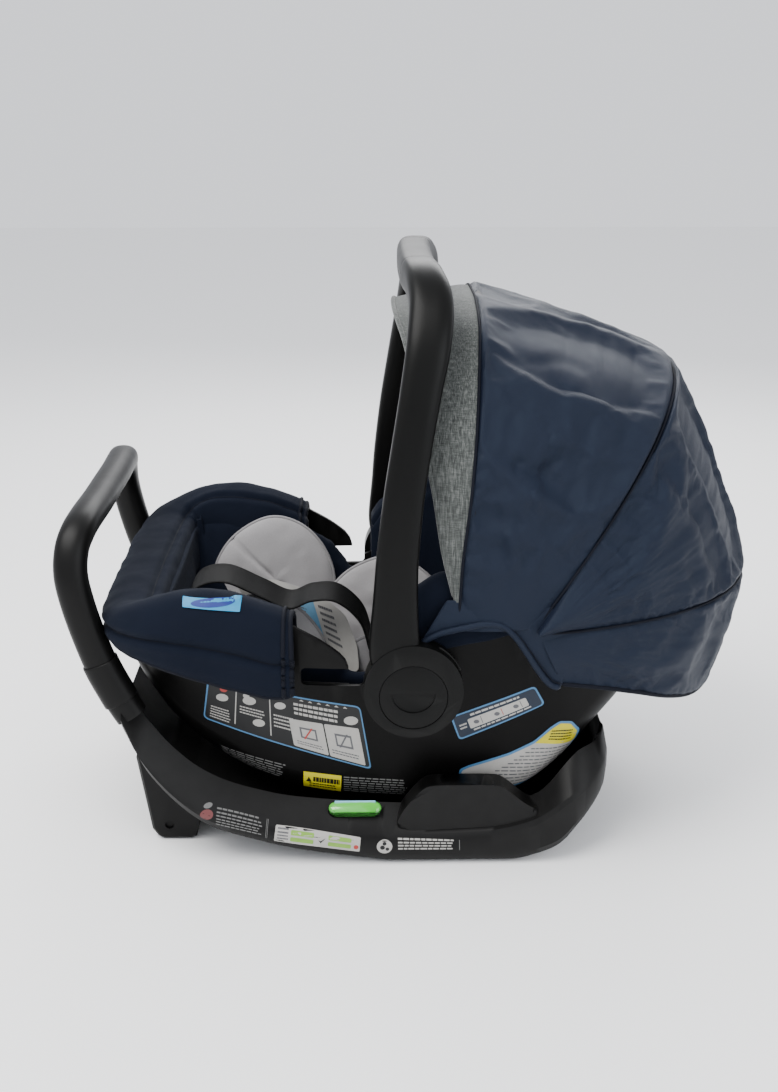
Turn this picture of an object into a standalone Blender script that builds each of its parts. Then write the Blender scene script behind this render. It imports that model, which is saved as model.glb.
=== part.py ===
"""Infant car seat on its base: carrier, swinging handle, folding canopy and anti-rebound bar.

+X points to the head end, -Y is the child's left side, Z = 0 is the seat it stands on. Metres.
"""

import math

import bmesh
import bpy
from mathutils import Matrix, Vector

GAP = 0.0005                    # clearance between pieces that touch

# Base
BASE_HALF_WIDTH = 0.205
BASE_HEAD_X = 0.208
BASE_FOOT_X = -0.306
BASE_WALL = 0.004
REBOUND_HALF_WIDTH = 0.167
REBOUND_BAR = (0.017, 0.015)    # half depth along X, half thickness across

# Carrier shell
SHELL_FOOT_X = -0.308
SHELL_HEAD_X = 0.312
SHELL_HALF_WIDTH = 0.196
SHELL_WALL = 0.005
LINER = 0.010
PAD = 0.0145

# Handle
PIVOT = (-0.005, 0.210)         # X and Z of the handle's axis
HUB_RADIUS = 0.050
HUB_IN = 0.2005
HUB_OUT = 0.225
BUTTON_RADIUS = 0.034
PIN_RADIUS = 0.008
PIN_HOLE = PIN_RADIUS + 0.0003

# Canopy
CANOPY_AXIS = (0.112, 0.262)    # X and Z of the bows' axis
BOW_RADIUS = 0.0035
MOUNT_RADIUS = 0.004
BOW_HOLE = MOUNT_RADIUS + 0.0003
FABRIC = 0.0022

# Harness
WEBBING = (0.034, 0.0016)       # width and thickness of the shoulder straps


# --- scene helpers -------------------------------------------------------------------------

def clear_scene():
    for obj in list(bpy.data.objects):
        bpy.data.objects.remove(obj, do_unlink=True)


def material(name, colour, roughness, metallic=0.0):
    made = bpy.data.materials.new(name)
    made.use_nodes = True
    shader = made.node_tree.nodes["Principled BSDF"]
    shader.inputs["Base Color"].default_value = (*colour, 1.0)
    shader.inputs["Roughness"].default_value = roughness
    shader.inputs["Metallic"].default_value = metallic
    made.diffuse_color = (*colour, 1.0)
    return made


def from_bmesh(name, bm, mat, smooth=None):
    bmesh.ops.recalc_face_normals(bm, faces=bm.faces[:])
    mesh = bpy.data.meshes.new(name)
    bm.to_mesh(mesh)
    bm.free()
    obj = bpy.data.objects.new(name, mesh)
    bpy.context.scene.collection.objects.link(obj)
    if mat:
        mesh.materials.append(mat)
    if smooth is not None:
        mesh.shade_smooth()
        mesh.set_sharp_from_angle(angle=math.radians(smooth))
    return obj


def loft(name, rings, mat=None, smooth=40, closed=False):
    """Skins rings of equally many points; the two ends are filled unless the rings close on themselves."""
    bm = bmesh.new()
    rows = [[bm.verts.new(point) for point in ring] for ring in rings]
    count = len(rows[0])
    pairs = list(zip(rows, rows[1:]))
    if closed:
        pairs.append((rows[-1], rows[0]))
    for low, high in pairs:
        for i in range(count):
            j = (i + 1) % count
            bm.faces.new((low[i], low[j], high[j]))
            bm.faces.new((low[i], high[j], high[i]))
    if not closed:
        bm.faces.new(rows[0])
        bm.faces.new(list(reversed(rows[-1])))
    return from_bmesh(name, bm, mat, smooth)


def prism(name, outline, low, high, mat=None, axis="Y", bevel=0.0, smooth=30):
    """Extrudes an outline along an axis: (x, z) along Y, (x, y) along Z, (y, z) along X."""
    place = {
        "Y": lambda a, b, c: (a, c, b),
        "Z": lambda a, b, c: (a, b, c),
        "X": lambda a, b, c: (c, a, b),
    }[axis]
    bm = bmesh.new()
    rows = [[bm.verts.new(place(a, b, level)) for a, b in outline] for level in (low, high)]
    for i in range(len(outline)):
        j = (i + 1) % len(outline)
        bm.faces.new((rows[0][i], rows[0][j], rows[1][j], rows[1][i]))
    bm.faces.new(rows[0])
    bm.faces.new(list(reversed(rows[1])))
    if bevel:
        ends = [e for e in bm.edges if sum(e.verts[0] in row and e.verts[1] in row for row in rows)]
        bmesh.ops.bevel(bm, geom=ends, offset=bevel, segments=1, affect="EDGES")
    return from_bmesh(name, bm, mat, smooth)


def box(name, low, high, mat=None, bevel=0.0):
    bm = bmesh.new()
    bmesh.ops.create_cube(bm, size=1.0)
    low, high = Vector(low), Vector(high)
    for vert in bm.verts:
        vert.co = Vector((low[i] + (vert.co[i] + 0.5) * (high[i] - low[i]) for i in range(3)))
    if bevel:
        bmesh.ops.bevel(bm, geom=bm.edges[:], offset=bevel, segments=1, affect="EDGES")
    return from_bmesh(name, bm, mat, 30)


def disc(name, centre, radius, depth, mat=None, axis="Y", segments=24, bevel=0.0, top=None):
    """A cylinder that starts at the centre and runs depth along +axis."""
    bm = bmesh.new()
    bmesh.ops.create_cone(
        bm, cap_ends=True, segments=segments, radius1=radius,
        radius2=radius if top is None else top, depth=abs(depth),
    )
    if bevel:
        rims = [e for e in bm.edges if abs(e.verts[0].co.z - e.verts[1].co.z) < 1e-6]
        bmesh.ops.bevel(bm, geom=rims, offset=bevel, segments=2, affect="EDGES")
    turn = {
        "X": Matrix.Rotation(math.pi / 2, 4, "Y"),
        "Y": Matrix.Rotation(-math.pi / 2, 4, "X"),
        "Z": Matrix.Identity(4),
    }[axis]
    shift = Vector({"X": (1, 0, 0), "Y": (0, 1, 0), "Z": (0, 0, 1)}[axis]) * depth / 2
    bm.transform(Matrix.Translation(Vector(centre) + shift) @ turn)
    return from_bmesh(name, bm, mat, 40)


def boolean(obj, other, operation="DIFFERENCE"):
    """Applies a Boolean with the exact solver and removes the other object."""
    bpy.context.view_layer.update()
    modifier = obj.modifiers.new(operation, "BOOLEAN")
    modifier.operation = operation
    modifier.solver = "EXACT"
    modifier.object = other
    graph = bpy.context.evaluated_depsgraph_get()
    mesh = bpy.data.meshes.new_from_object(obj.evaluated_get(graph))
    obj.modifiers.remove(modifier)
    obj.data = mesh
    mesh.set_sharp_from_angle(angle=math.radians(40))
    bpy.data.objects.remove(other, do_unlink=True)
    return obj


def cut(obj, *others):
    for other in others:
        boolean(obj, other, "DIFFERENCE")
    return obj


def join(obj, *others):
    for other in others:
        boolean(obj, other, "UNION")
    return obj


def pivoted(obj, origin, parent=None):
    """Moves an object's origin to a point on its joint axis, and leaves its shape where it is."""
    origin = Vector(origin)
    obj.data.transform(Matrix.Translation(-origin))
    obj.location = origin
    if parent:
        bpy.context.view_layer.update()
        obj.parent = parent
        obj.matrix_parent_inverse = parent.matrix_world.inverted()
    return obj


# --- curves and sections -------------------------------------------------------------------

def smooth_path(points, per_span):
    """A Catmull-Rom curve through the points."""
    points = [Vector(p) for p in points]
    ends = [points[0] * 2 - points[1], *points, points[-1] * 2 - points[-2]]
    path = []
    for i in range(1, len(ends) - 2):
        a, b, c, d = ends[i - 1:i + 3]
        for step in range(per_span):
            t = step / per_span
            path.append(0.5 * (
                2 * b + (c - a) * t + (2 * a - 5 * b + 4 * c - d) * t * t
                + (3 * b - a - 3 * c + d) * t ** 3
            ))
    path.append(points[-1])
    return path


def value_at(table, x, smooth=True):
    """The value at x of a short list of (x, value) pairs, through a cubic curve or straight lines."""
    if x <= table[0][0]:
        return table[0][1]
    if x >= table[-1][0]:
        return table[-1][1]
    i = max(k for k in range(len(table) - 1) if table[k][0] <= x)
    (x0, v0), (x1, v1) = table[i], table[i + 1]
    t = (x - x0) / (x1 - x0)
    if not smooth:
        return v0 + (v1 - v0) * t
    before, after = table[max(i - 1, 0)], table[min(i + 2, len(table) - 1)]
    slope0 = (v1 - before[1]) / (x1 - before[0])
    slope1 = (after[1] - v0) / (after[0] - x0)
    run = x1 - x0
    return (
        v0 * (1 + 2 * t) * (1 - t) ** 2 + slope0 * run * t * (1 - t) ** 2
        + v1 * t * t * (3 - 2 * t) - slope1 * run * t * t * (1 - t)
    )


def tube(name, path, radius, mat, resolution=1):
    """A round bar along a path, with closed ends."""
    curve = bpy.data.curves.new(name, "CURVE")
    curve.dimensions = "3D"
    curve.bevel_depth = radius
    curve.bevel_resolution = resolution
    curve.use_fill_caps = True
    spline = curve.splines.new("POLY")
    spline.points.add(len(path) - 1)
    for point, place in zip(spline.points, path):
        point.co = (*place, 1.0)
    obj = bpy.data.objects.new(name, curve)
    bpy.context.scene.collection.objects.link(obj)
    curve.materials.append(mat)
    return obj


def strap(name, path, across, width, thick, mat):
    """A flat webbing strap along a path; across gives its width direction."""
    across = Vector(across).normalized()
    path = [Vector(p) for p in path]
    rings = []
    for i, point in enumerate(path):
        along = path[min(i + 1, len(path) - 1)] - path[max(i - 1, 0)]
        side = (across - along * across.dot(along) / along.length_squared).normalized()
        up = along.cross(side).normalized()
        rings.append([
            point + side * a * width / 2 + up * b * thick / 2
            for a, b in ((-1, -1), (1, -1), (1, 1), (-1, 1))
        ])
    return loft(name, rings, mat)


def trough(x, half_top, half_low, low, rim, top, corner, spread=0.0, steps=4):
    """A U-shaped section across X: walls lean out up to the rim, then stand straight up to the top."""
    def wall(z):
        share = (z - low - corner) / (rim - low - corner)
        return half_low + (half_top - half_low) * min(1.0, share) + spread

    right = [(wall(top), top), (wall(min(top, rim) - 0.004), min(top, rim) - 0.004)]
    for i in range(steps + 1):
        angle = math.radians(90 * i / steps)
        right.append((
            half_low + spread - corner + corner * math.cos(angle),
            low - spread + corner - corner * math.sin(angle),
        ))
    left = [(-y, z) for y, z in reversed(right)]
    return [Vector((x, y, z)) for y, z in right + left]


def sweep(name, path, sizes, mat, sides=12, power=2.6, hint=(1, 0, 0)):
    """A bar of rounded section along a path; sizes holds its half depth along the hint and half thickness."""
    hint = Vector(hint)
    rings = []
    for i, point in enumerate(path):
        along = (path[min(i + 1, len(path) - 1)] - path[max(i - 1, 0)]).normalized()
        deep = (hint - along * hint.dot(along)).normalized()
        wide = along.cross(deep)
        half_deep, half_wide = sizes[i]
        ring = []
        for k in range(sides):
            angle = 2 * math.pi * (k + 0.5) / sides
            a, b = math.cos(angle), math.sin(angle)
            scale = (abs(a) ** power + abs(b) ** power) ** (-1 / power)
            ring.append(point + deep * a * scale * half_deep + wide * b * scale * half_wide)
        rings.append(ring)
    return loft(name, rings, mat)


def sheet(name, grid, thick, mat):
    """A closed sheet of even thickness on the inner side of a grid of points."""
    rows, columns = len(grid), len(grid[0])
    inner = []
    for i in range(rows):
        line = []
        for j in range(columns):
            across = grid[min(i + 1, rows - 1)][j] - grid[max(i - 1, 0)][j]
            along = grid[i][min(j + 1, columns - 1)] - grid[i][max(j - 1, 0)]
            line.append(grid[i][j] - along.cross(across).normalized() * thick)
        inner.append(line)
    bm = bmesh.new()
    top = [[bm.verts.new(p) for p in row] for row in grid]
    low = [[bm.verts.new(p) for p in row] for row in inner]
    for i in range(rows - 1):
        for j in range(columns - 1):
            bm.faces.new((top[i][j], top[i][j + 1], top[i + 1][j + 1], top[i + 1][j]))
            bm.faces.new((low[i][j], low[i + 1][j], low[i + 1][j + 1], low[i][j + 1]))
    rim = [(0, j) for j in range(columns)] + [(i, columns - 1) for i in range(1, rows)]
    rim += [(rows - 1, j) for j in range(columns - 2, -1, -1)] + [(i, 0) for i in range(rows - 2, 0, -1)]
    for (a, b), (c, d) in zip(rim, rim[1:] + rim[:1]):
        bm.faces.new((top[a][b], low[a][b], low[c][d], top[c][d]))
    return from_bmesh(name, bm, mat, 60)


# --- base ----------------------------------------------------------------------------------

BASE_STATIONS = [
    -0.306, -0.295, -0.279, -0.26, -0.24, -0.22, -0.20, -0.175, -0.15, -0.12, -0.09, -0.06, -0.03,
    0.01, 0.06, 0.10, 0.125, 0.145, 0.16, 0.168, 0.18, 0.19, 0.20, 0.208,
]
BASE_CORNER = 0.07
BOTTOM = [
    (-0.306, 0.150), (-0.279, 0.097), (-0.224, 0.047), (-0.177, 0.028), (-0.124, 0.014),
    (-0.06, 0.004), (-0.03, 0.0), (0.10, 0.0), (0.153, 0.018), (0.171, 0.036), (0.208, 0.072),
]
RIDGE = [
    (-0.306, 0.168), (-0.286, 0.124), (-0.236, 0.076), (-0.150, 0.048), (-0.06, 0.036),
    (0.06, 0.037), (0.12, 0.050), (0.16, 0.076), (0.208, 0.104),
]
RIM = [
    (-0.306, 0.184), (-0.259, 0.128), (-0.213, 0.093), (-0.160, 0.074), (-0.116, 0.066),
    (-0.02, 0.059), (0.087, 0.060), (0.13, 0.070), (0.16, 0.104), (0.175, 0.116), (0.208, 0.116),
]
DECK = [
    (-0.306, 0.168), (-0.285, 0.138), (-0.25, 0.094), (-0.20, 0.056), (-0.15, 0.032),
    (-0.09, 0.019), (-0.03, 0.016), (0.10, 0.016), (0.145, 0.034), (0.168, 0.060), (0.19, 0.100),
    (0.208, 0.112),
]
RIM_WIDTH = 0.033


def base_half(x):
    half = BASE_HALF_WIDTH - 0.019 * max(0.0, (-0.23 - x) / 0.076) ** 1.5
    into = x - (BASE_HEAD_X - BASE_CORNER)
    if into > 0:
        half = BASE_HALF_WIDTH - BASE_CORNER + math.sqrt(max(BASE_CORNER ** 2 - into ** 2, 1e-6))
    return half


def mirrored_ring(x, right):
    """A closed ring across X from its +Y half, listed from the bottom up."""
    return [Vector((x, y, z)) for y, z in right] + [Vector((x, -y, z)) for y, z in reversed(right)]


def base_section(x):
    half = base_half(x)
    bottom, ridge, rim = (value_at(t, x, t is not BOTTOM) for t in (BOTTOM, RIDGE, RIM))
    deck = min(value_at(DECK, x), rim - 0.002)
    return mirrored_ring(x, [
        (half - 0.016, bottom), (half - 0.004, bottom + 0.004), (half, bottom + 0.012),
        (half, ridge - 0.006), (half - 0.003, ridge), (half - RIM_WIDTH + 0.003, rim - 0.001),
        (half - RIM_WIDTH, rim - 0.004 * (rim - deck > 0.012)),
        (half - RIM_WIDTH - 0.004, min(deck + 0.012, rim - 0.001)), (half - RIM_WIDTH - 0.018, deck),
    ])


def base_cavity(x, half_x):
    half = base_half(half_x) - BASE_WALL
    bottom, ridge, rim = (value_at(t, x, t is not BOTTOM) for t in (BOTTOM, RIDGE, RIM))
    deck = min(value_at(DECK, x), rim - 0.002)
    return mirrored_ring(x, [
        (half, bottom - 0.03), (half, ridge - 0.007), (half - 0.003, ridge - 0.005),
        (half - RIM_WIDTH + 0.010, rim - 0.007), (half - RIM_WIDTH - 0.003, min(deck + 0.006, rim - 0.008)),
        (half - RIM_WIDTH - 0.012, deck - 0.0045),
    ])


def side_prism(name, outline, low, high, side, mat=None, **more):
    """An outline in X and Z, from low to high away from the middle, on one side (-1 or +1 along Y)."""
    return prism(name, outline, *sorted((side * low, side * high)), mat, "Y", **more)


def side_disc(name, x, z, radius, low, high, side, mat=None, **more):
    """A round piece about a Y axis, from low to high away from the middle, on one side."""
    return disc(name, (x, side * low, z), radius, side * (high - low), mat, "Y", **more)


def capsule(length, width, steps=5):
    """The outline of a slot with round ends, about the origin."""
    outline = []
    for end in (1, -1):
        for i in range(steps + 1):
            angle = math.radians(-90 + 180 * i / steps)
            outline.append((
                end * (length / 2 - width / 2 + width / 2 * math.cos(angle)),
                end * width / 2 * math.sin(angle),
            ))
    return outline


LENS = dict(x=-0.065, y=0.1835, z=0.0530, length=0.056, width=0.0135, lean=33.0)


def lens_shape(name, side, spread, low, high, mat=None):
    """The level window: a capsule that stands square to the rim's slope."""
    outline = capsule(LENS["length"] + 2 * spread, LENS["width"] + 2 * spread)
    obj = prism(name, outline, low, high, mat, "Z")
    obj.data.transform(
        Matrix.Translation((LENS["x"], side * LENS["y"], LENS["z"]))
        @ Matrix.Rotation(math.radians(-side * LENS["lean"]), 4, "X")
    )
    return obj


LATCHES = {"foot": -0.075, "head": 0.075}
BAR_Z, BAR_RADIUS, BAR_HALF = 0.0285, 0.0028, 0.052


def make_base(plastic, steel, lens_green):
    housing = loft("base_housing", [base_section(x) for x in BASE_STATIONS], plastic)
    hump = [
        (-0.024, 0.036), (-0.016, 0.060), (0.004, 0.085), (0.014, 0.091), (0.082, 0.091),
        (0.092, 0.088), (0.114, 0.068), (0.130, 0.060), (0.130, 0.044),
    ]
    for side in (-1, 1):
        join(housing, side_prism("hump", hump, 0.1735, 0.1985, side, bevel=0.004))
    for x in LATCHES.values():
        for side in (-1, 1):
            low, high = sorted((side * (BAR_HALF - 0.004), side * (BAR_HALF + 0.006)))
            ear = box("ear", (x - 0.008, low, 0.012), (x + 0.008, high, BAR_Z + 0.006), bevel=0.001)
            join(housing, ear)
    inner = [BASE_FOOT_X + 0.012, *BASE_STATIONS[2:-2], BASE_HEAD_X - 0.006]
    cut(housing, loft("cavity", [base_cavity(x, min(x + 0.004, BASE_HEAD_X)) for x in inner]))
    for x in LATCHES.values():
        start = (x, -BAR_HALF - GAP, BAR_Z)
        cut(housing, disc("bore", start, BAR_RADIUS + 0.0004, 2 * (BAR_HALF + GAP), segments=12))
    for side in (-1, 1):
        cut(housing, lens_shape("pocket", side, 0.0005, -0.001, 0.03))

    def pan_section(x):
        half = base_half(x) - BASE_WALL - 0.0012
        bottom = value_at(BOTTOM, x, False)
        edge = [(half - 0.014, bottom), (half, bottom + 0.0035), (half - 0.012, bottom + 0.0032)]
        return mirrored_ring(x, edge)

    pan_range = [x for x in BASE_STATIONS if -0.27 < x < 0.165]
    loft("base_bottom_pan", [pan_section(x) for x in pan_range], plastic)
    seat = [pan_section(x) for x in pan_range]
    for ring in seat:
        for k, point in enumerate(ring):
            point.y += math.copysign(0.0012, point.y)
            point.z += 0.0010 if k in (1, 2, 3, 4) else -0.004
    for ring, shift in ((seat[0], -0.0015), (seat[-1], 0.0015)):
        for point in ring:
            point.x += shift
    cut(housing, loft("seat_of_pan", seat))
    for side, word in ((-1, "left"), (1, "right")):
        lens_shape("level_window_" + word, side, 0.0, -0.0004, 0.0125, lens_green)
    for word, x in LATCHES.items():
        disc("latch_bar_" + word, (x, -BAR_HALF, BAR_Z), BAR_RADIUS, 2 * BAR_HALF, steel, segments=12)
    return housing


def make_rebound_bar(plastic, housing):
    """The loop that rises from two sockets in the base's foot end and bears against the seat back."""
    half = REBOUND_HALF_WIDTH
    leg = [
        (-0.2975, half, 0.160), (-0.3045, half, 0.172), (-0.3135, half, 0.190), (-0.325, half, 0.216),
        (-0.336, half, 0.250), (-0.345, half, 0.285), (-0.350, half - 0.002, 0.315),
        (-0.349, half - 0.011, 0.339), (-0.345, half - 0.028, 0.353), (-0.342, 0.110, 0.3585),
        (-0.340, 0.055, 0.3595),
    ]
    points = [(x, -y, z) for x, y, z in leg] + [(-0.340, 0.0, 0.3595)] + list(reversed(leg))
    path = smooth_path(points, 2)
    sweep("anti_rebound_bar", path, [REBOUND_BAR] * len(path), plastic, sides=12, power=2.4)
    for end in (path[:6], path[-6:]):
        wider = [(REBOUND_BAR[0] + GAP, REBOUND_BAR[1] + GAP)] * len(end)
        beyond = (end[0] - end[1]) if end[0].z < end[-1].z else (end[-1] - end[-2])
        run = [end[0] + beyond * 0.2, *end] if end[0].z < end[-1].z else [*end, end[-1] + beyond * 0.2]
        cut(housing, sweep("socket", run, [wider[0]] + wider, None, sides=12, power=2.4))


FOOT = [
    (-0.300, 0.100), (-0.287, 0.012), (-0.281, 0.003), (-0.275, 0.0), (-0.245, 0.0), (-0.239, 0.003),
    (-0.236, 0.015), (-0.230, 0.050),
]


def make_recline_foot(plastic):
    """The block that sets the base's angle; its top follows the base's underside."""
    top = [(x, value_at(BOTTOM, x, False) - 0.004) for x in (-0.233, -0.24, -0.25, -0.262, -0.279, -0.293)]
    foot = prism("recline_foot", FOOT[:-1] + top, -0.150, 0.150, plastic, bevel=0.003)
    for side in (-1, 1):
        cut(foot, side_disc("recess", -0.268, 0.018, 0.005, 0.147, 0.152, side, segments=16))
    cut(foot, box("hollow", (-0.276, -0.120, -0.01), (-0.247, 0.120, 0.045)))


# --- carrier shell -------------------------------------------------------------------------

SHELL_STATIONS = [
    -0.308, -0.303, -0.301, -0.294, -0.286, -0.284, -0.274, -0.263, -0.25, -0.225, -0.20, -0.175,
    -0.15, -0.125, -0.095, -0.0705, -0.0695, -0.05, -0.025, 0.0, 0.03, 0.06, 0.09, 0.12, 0.15, 0.175,
    0.20, 0.23, 0.25, 0.269, 0.288, 0.291, 0.305, 0.307, 0.312,
]
HALF_TOP = [
    (-0.308, 0.145), (-0.300, 0.166), (-0.288, 0.181), (-0.270, 0.191), (-0.245, 0.196), (0.0, 0.196),
    (0.06, 0.191), (0.13, 0.187), (0.19, 0.178), (0.25, 0.157), (0.29, 0.128), (0.312, 0.092),
]
HALF_LOW = [
    (-0.308, 0.125), (-0.285, 0.140), (-0.24, 0.150), (-0.15, 0.160), (0.0, 0.164), (0.10, 0.164),
    (0.16, 0.158), (0.22, 0.138), (0.312, 0.080),
]
SHELL_LOW = [
    (-0.308, 0.222), (-0.29, 0.186), (-0.25, 0.126), (-0.20, 0.086), (-0.15, 0.058), (-0.09, 0.042),
    (-0.03, 0.038), (0.05, 0.038), (0.10, 0.046), (0.15, 0.076), (0.19, 0.115), (0.25, 0.182), (0.312, 0.285),
]
SHELL_CORNER = [(-0.308, 0.02), (-0.25, 0.040), (-0.15, 0.048), (0.10, 0.045), (0.20, 0.06), (0.312, 0.04)]
SHELL_RIM = [
    (-0.308, 0.254), (-0.288, 0.267), (-0.25, 0.286), (-0.20, 0.292), (-0.15, 0.286), (-0.125, 0.270),
    (-0.0705, 0.237), (-0.0695, 0.212), (-0.05, 0.213), (-0.025, 0.232), (0.03, 0.250), (0.09, 0.262),
    (0.145, 0.285), (0.20, 0.320), (0.265, 0.356), (0.312, 0.368),
]
NEST = 0.003                    # play between nested bowls
HARD = SHELL_WALL + NEST + LINER


def section_at_station(x, spread, top):
    rim = value_at(SHELL_RIM, x, False)
    half_top, half_low, low, corner = (
        value_at(table, x) for table in (HALF_TOP, HALF_LOW, SHELL_LOW, SHELL_CORNER)
    )
    corner = min(corner, (rim - low) * 0.4)
    height = top(x) if callable(top) else rim if top is None else top
    return trough(x, half_top, half_low, low, rim, height, corner, spread)


def shell_section(x, spread, top=None):
    """The carrier's section at x, straight between two stations, so that nested shapes stay nested."""
    inside = min(max(x, SHELL_STATIONS[0]), SHELL_STATIONS[-1] - 1e-6)
    k = max(i for i, station in enumerate(SHELL_STATIONS) if station <= inside)
    x0, x1 = SHELL_STATIONS[k], SHELL_STATIONS[k + 1]
    first, last = (section_at_station(station, spread, top) for station in (x0, x1))
    share = (inside - x0) / (x1 - x0)
    ring = [a.lerp(b, share) for a, b in zip(first, last)]
    for point in ring:
        point.x = x
    return ring


def shell_hull(name, spread, top=None, first=SHELL_FOOT_X, last=SHELL_HEAD_X, mat=None):
    """A solid of the carrier's shape; top is None, a height, or a function of x."""
    inside = [x for x in SHELL_STATIONS if first + 0.0003 < x < last - 0.0003]
    return loft(name, [shell_section(x, spread, top) for x in [first, *inside, last]], mat)


def rim_at(x):
    return value_at(SHELL_RIM, x, False)


def pad_top(x):
    """Height of the soft rim's crown."""
    return value_at([
        (-0.32, 0.268), (-0.30, 0.284), (-0.24, 0.303), (-0.18, 0.299), (-0.125, 0.277), (-0.07, 0.230),
        (-0.03, 0.236), (0.03, 0.262), (0.09, 0.280), (0.16, 0.305), (0.24, 0.352), (0.322, 0.378),
    ], x)


SLOT = ((-0.119, 0.201), (-0.055, 0.222))


def make_shell(plastic, foam):
    shell = shell_hull("carrier_shell", 0.0, mat=plastic)
    for side in (-1, 1):
        join(shell, side_disc("hub_boss", *PIVOT, 0.040, 0.178, 0.2, side, segments=32, bevel=0.002))
        join(shell, side_disc("bow_boss", *CANOPY_AXIS, 0.013, 0.178, 0.1895, side))
    cut(shell, shell_hull(
        "bowl", -SHELL_WALL, lambda x: rim_at(x) + 0.05, SHELL_FOOT_X + SHELL_WALL, SHELL_HEAD_X - SHELL_WALL,
    ))
    (x0, z0), (x1, z1) = SLOT
    cut(shell, box("belt_slots", (x0, -0.3, z0), (x1, 0.3, z1)))
    for side in (-1, 1):
        cut(shell, side_disc("pin_hole", *PIVOT, PIN_HOLE, 0.1885, 0.21, side, segments=20))
        cut(shell, side_disc("bow_hole", *CANOPY_AXIS, BOW_HOLE, 0.1865, 0.2, side, segments=16))
    # The two latch pawls run in open pockets under the floor.
    for x in LATCHES.values():
        cut(shell, box("latch_pocket", (x - 0.024, -0.032, 0.0), (x - 0.002, 0.032, 0.0405)))

    liner_top = [(-0.308, -0.006), (-0.08, -0.006), (-0.0695, -0.004), (0.318, -0.006)]
    liner = shell_hull(
        "foam_liner", -SHELL_WALL - NEST, lambda x: min(rim_at(x), rim_at(x + 0.01)) + value_at(liner_top, x),
        SHELL_FOOT_X + SHELL_WALL + 0.002, SHELL_HEAD_X - SHELL_WALL - 0.002, foam,
    )
    cut(liner, shell_hull(
        "liner_bowl", -HARD, lambda x: rim_at(x) + 0.05,
        SHELL_FOOT_X + HARD + 0.004, SHELL_HEAD_X - HARD - 0.003,
    ))
    cut(liner, box("liner_slots", (x0 - 0.006, -0.3, z0 - 0.006), (x1 + 0.03, 0.3, 0.3)))


# --- soft goods ----------------------------------------------------------------------------

CAVITY = HARD + 1.5 * NEST + PAD


def inside_pad(clear):
    """The space inside the seat pad, drawn in by a clearance."""
    return shell_hull(
        "inside_pad", -CAVITY - clear, lambda x: rim_at(x) + 0.05,
        SHELL_FOOT_X + CAVITY + 0.008 + clear, SHELL_HEAD_X - CAVITY - 0.006 - clear,
    )


def make_pads(navy, grey):
    pad = shell_hull(
        "seat_pad", -HARD - 1.5 * NEST, lambda x: min(rim_at(x - 0.01), rim_at(x), rim_at(x + 0.01)) - 0.006,
        SHELL_FOOT_X + HARD + 0.006, SHELL_HEAD_X - HARD - 0.006, navy,
    )
    cut(pad, inside_pad(0.0))

    cover = shell_hull("rim_cover_foot", 0.018, pad_top, -0.318, -0.128, navy)
    foot_start = SHELL_FOOT_X + CAVITY + 0.008
    cut(cover, shell_hull("inner", -CAVITY, lambda x: pad_top(x) + 0.05, foot_start, 0.0))
    cut(cover, shell_hull("over_shell", NEST, lambda x: rim_at(x) + 0.002, -0.3095, 0.0))
    flap_low = [(-0.34, 0.247), (-0.30, 0.246), (-0.218, 0.219), (-0.149, 0.197), (-0.10, 0.205)]
    under = [(x, z) for x, z in flap_low] + [(-0.10, 0.0), (-0.34, 0.0)]
    cut(cover, prism("under", under, -0.3, 0.3))

    head_cover = shell_hull("rim_cover_head", 0.003, lambda x: pad_top(x) + 0.004, 0.036, 0.315, navy)
    head_end = SHELL_HEAD_X - CAVITY - 0.006
    cut(head_cover, shell_hull("inner", -CAVITY, lambda x: pad_top(x) + 0.05, 0.0, head_end))
    cut(head_cover, shell_hull("over_shell", 0.08, lambda x: rim_at(x) + 0.0015, 0.0, 0.35))
    cut(head_cover, disc("over_boss", (CANOPY_AXIS[0], -0.3, CANOPY_AXIS[1]), 0.0145, 0.6))

    for side, word in ((-1, "left"), (1, "right")):
        thigh = [
            (-0.236, 0.190), (-0.236, 0.222), (-0.214, 0.254), (-0.170, 0.278), (-0.134, 0.268),
            (-0.106, 0.238), (-0.096, 0.200), (-0.098, 0.150), (-0.19, 0.150),
        ]
        waist = [
            (-0.106, 0.150), (-0.100, 0.184), (-0.073, 0.216), (-0.023, 0.231), (0.020, 0.210),
            (0.050, 0.168), (0.060, 0.130), (-0.09, 0.130),
        ]
        leaf = side_prism("body_insert_" + word, thigh, 0.110, 0.124, side, grey, bevel=0.004)
        join(leaf, side_prism("waist", waist, 0.096, 0.112, side, bevel=0.004))
        boolean(leaf, inside_pad(0.003), "INTERSECT")

    head_top = 0.300
    head = shell_hull(
        "head_support", -CAVITY - 0.003, lambda x: min(rim_at(x) - 0.02, head_top), 0.075, 0.185, grey,
    )
    cut(head, shell_hull("head_hollow", -CAVITY - 0.028, 0.50, 0.0, 0.25))
    cut(head, box("front", (0.0, -0.2, 0.0), (0.30, 0.2, 0.150)))


# --- handle --------------------------------------------------------------------------------

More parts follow.
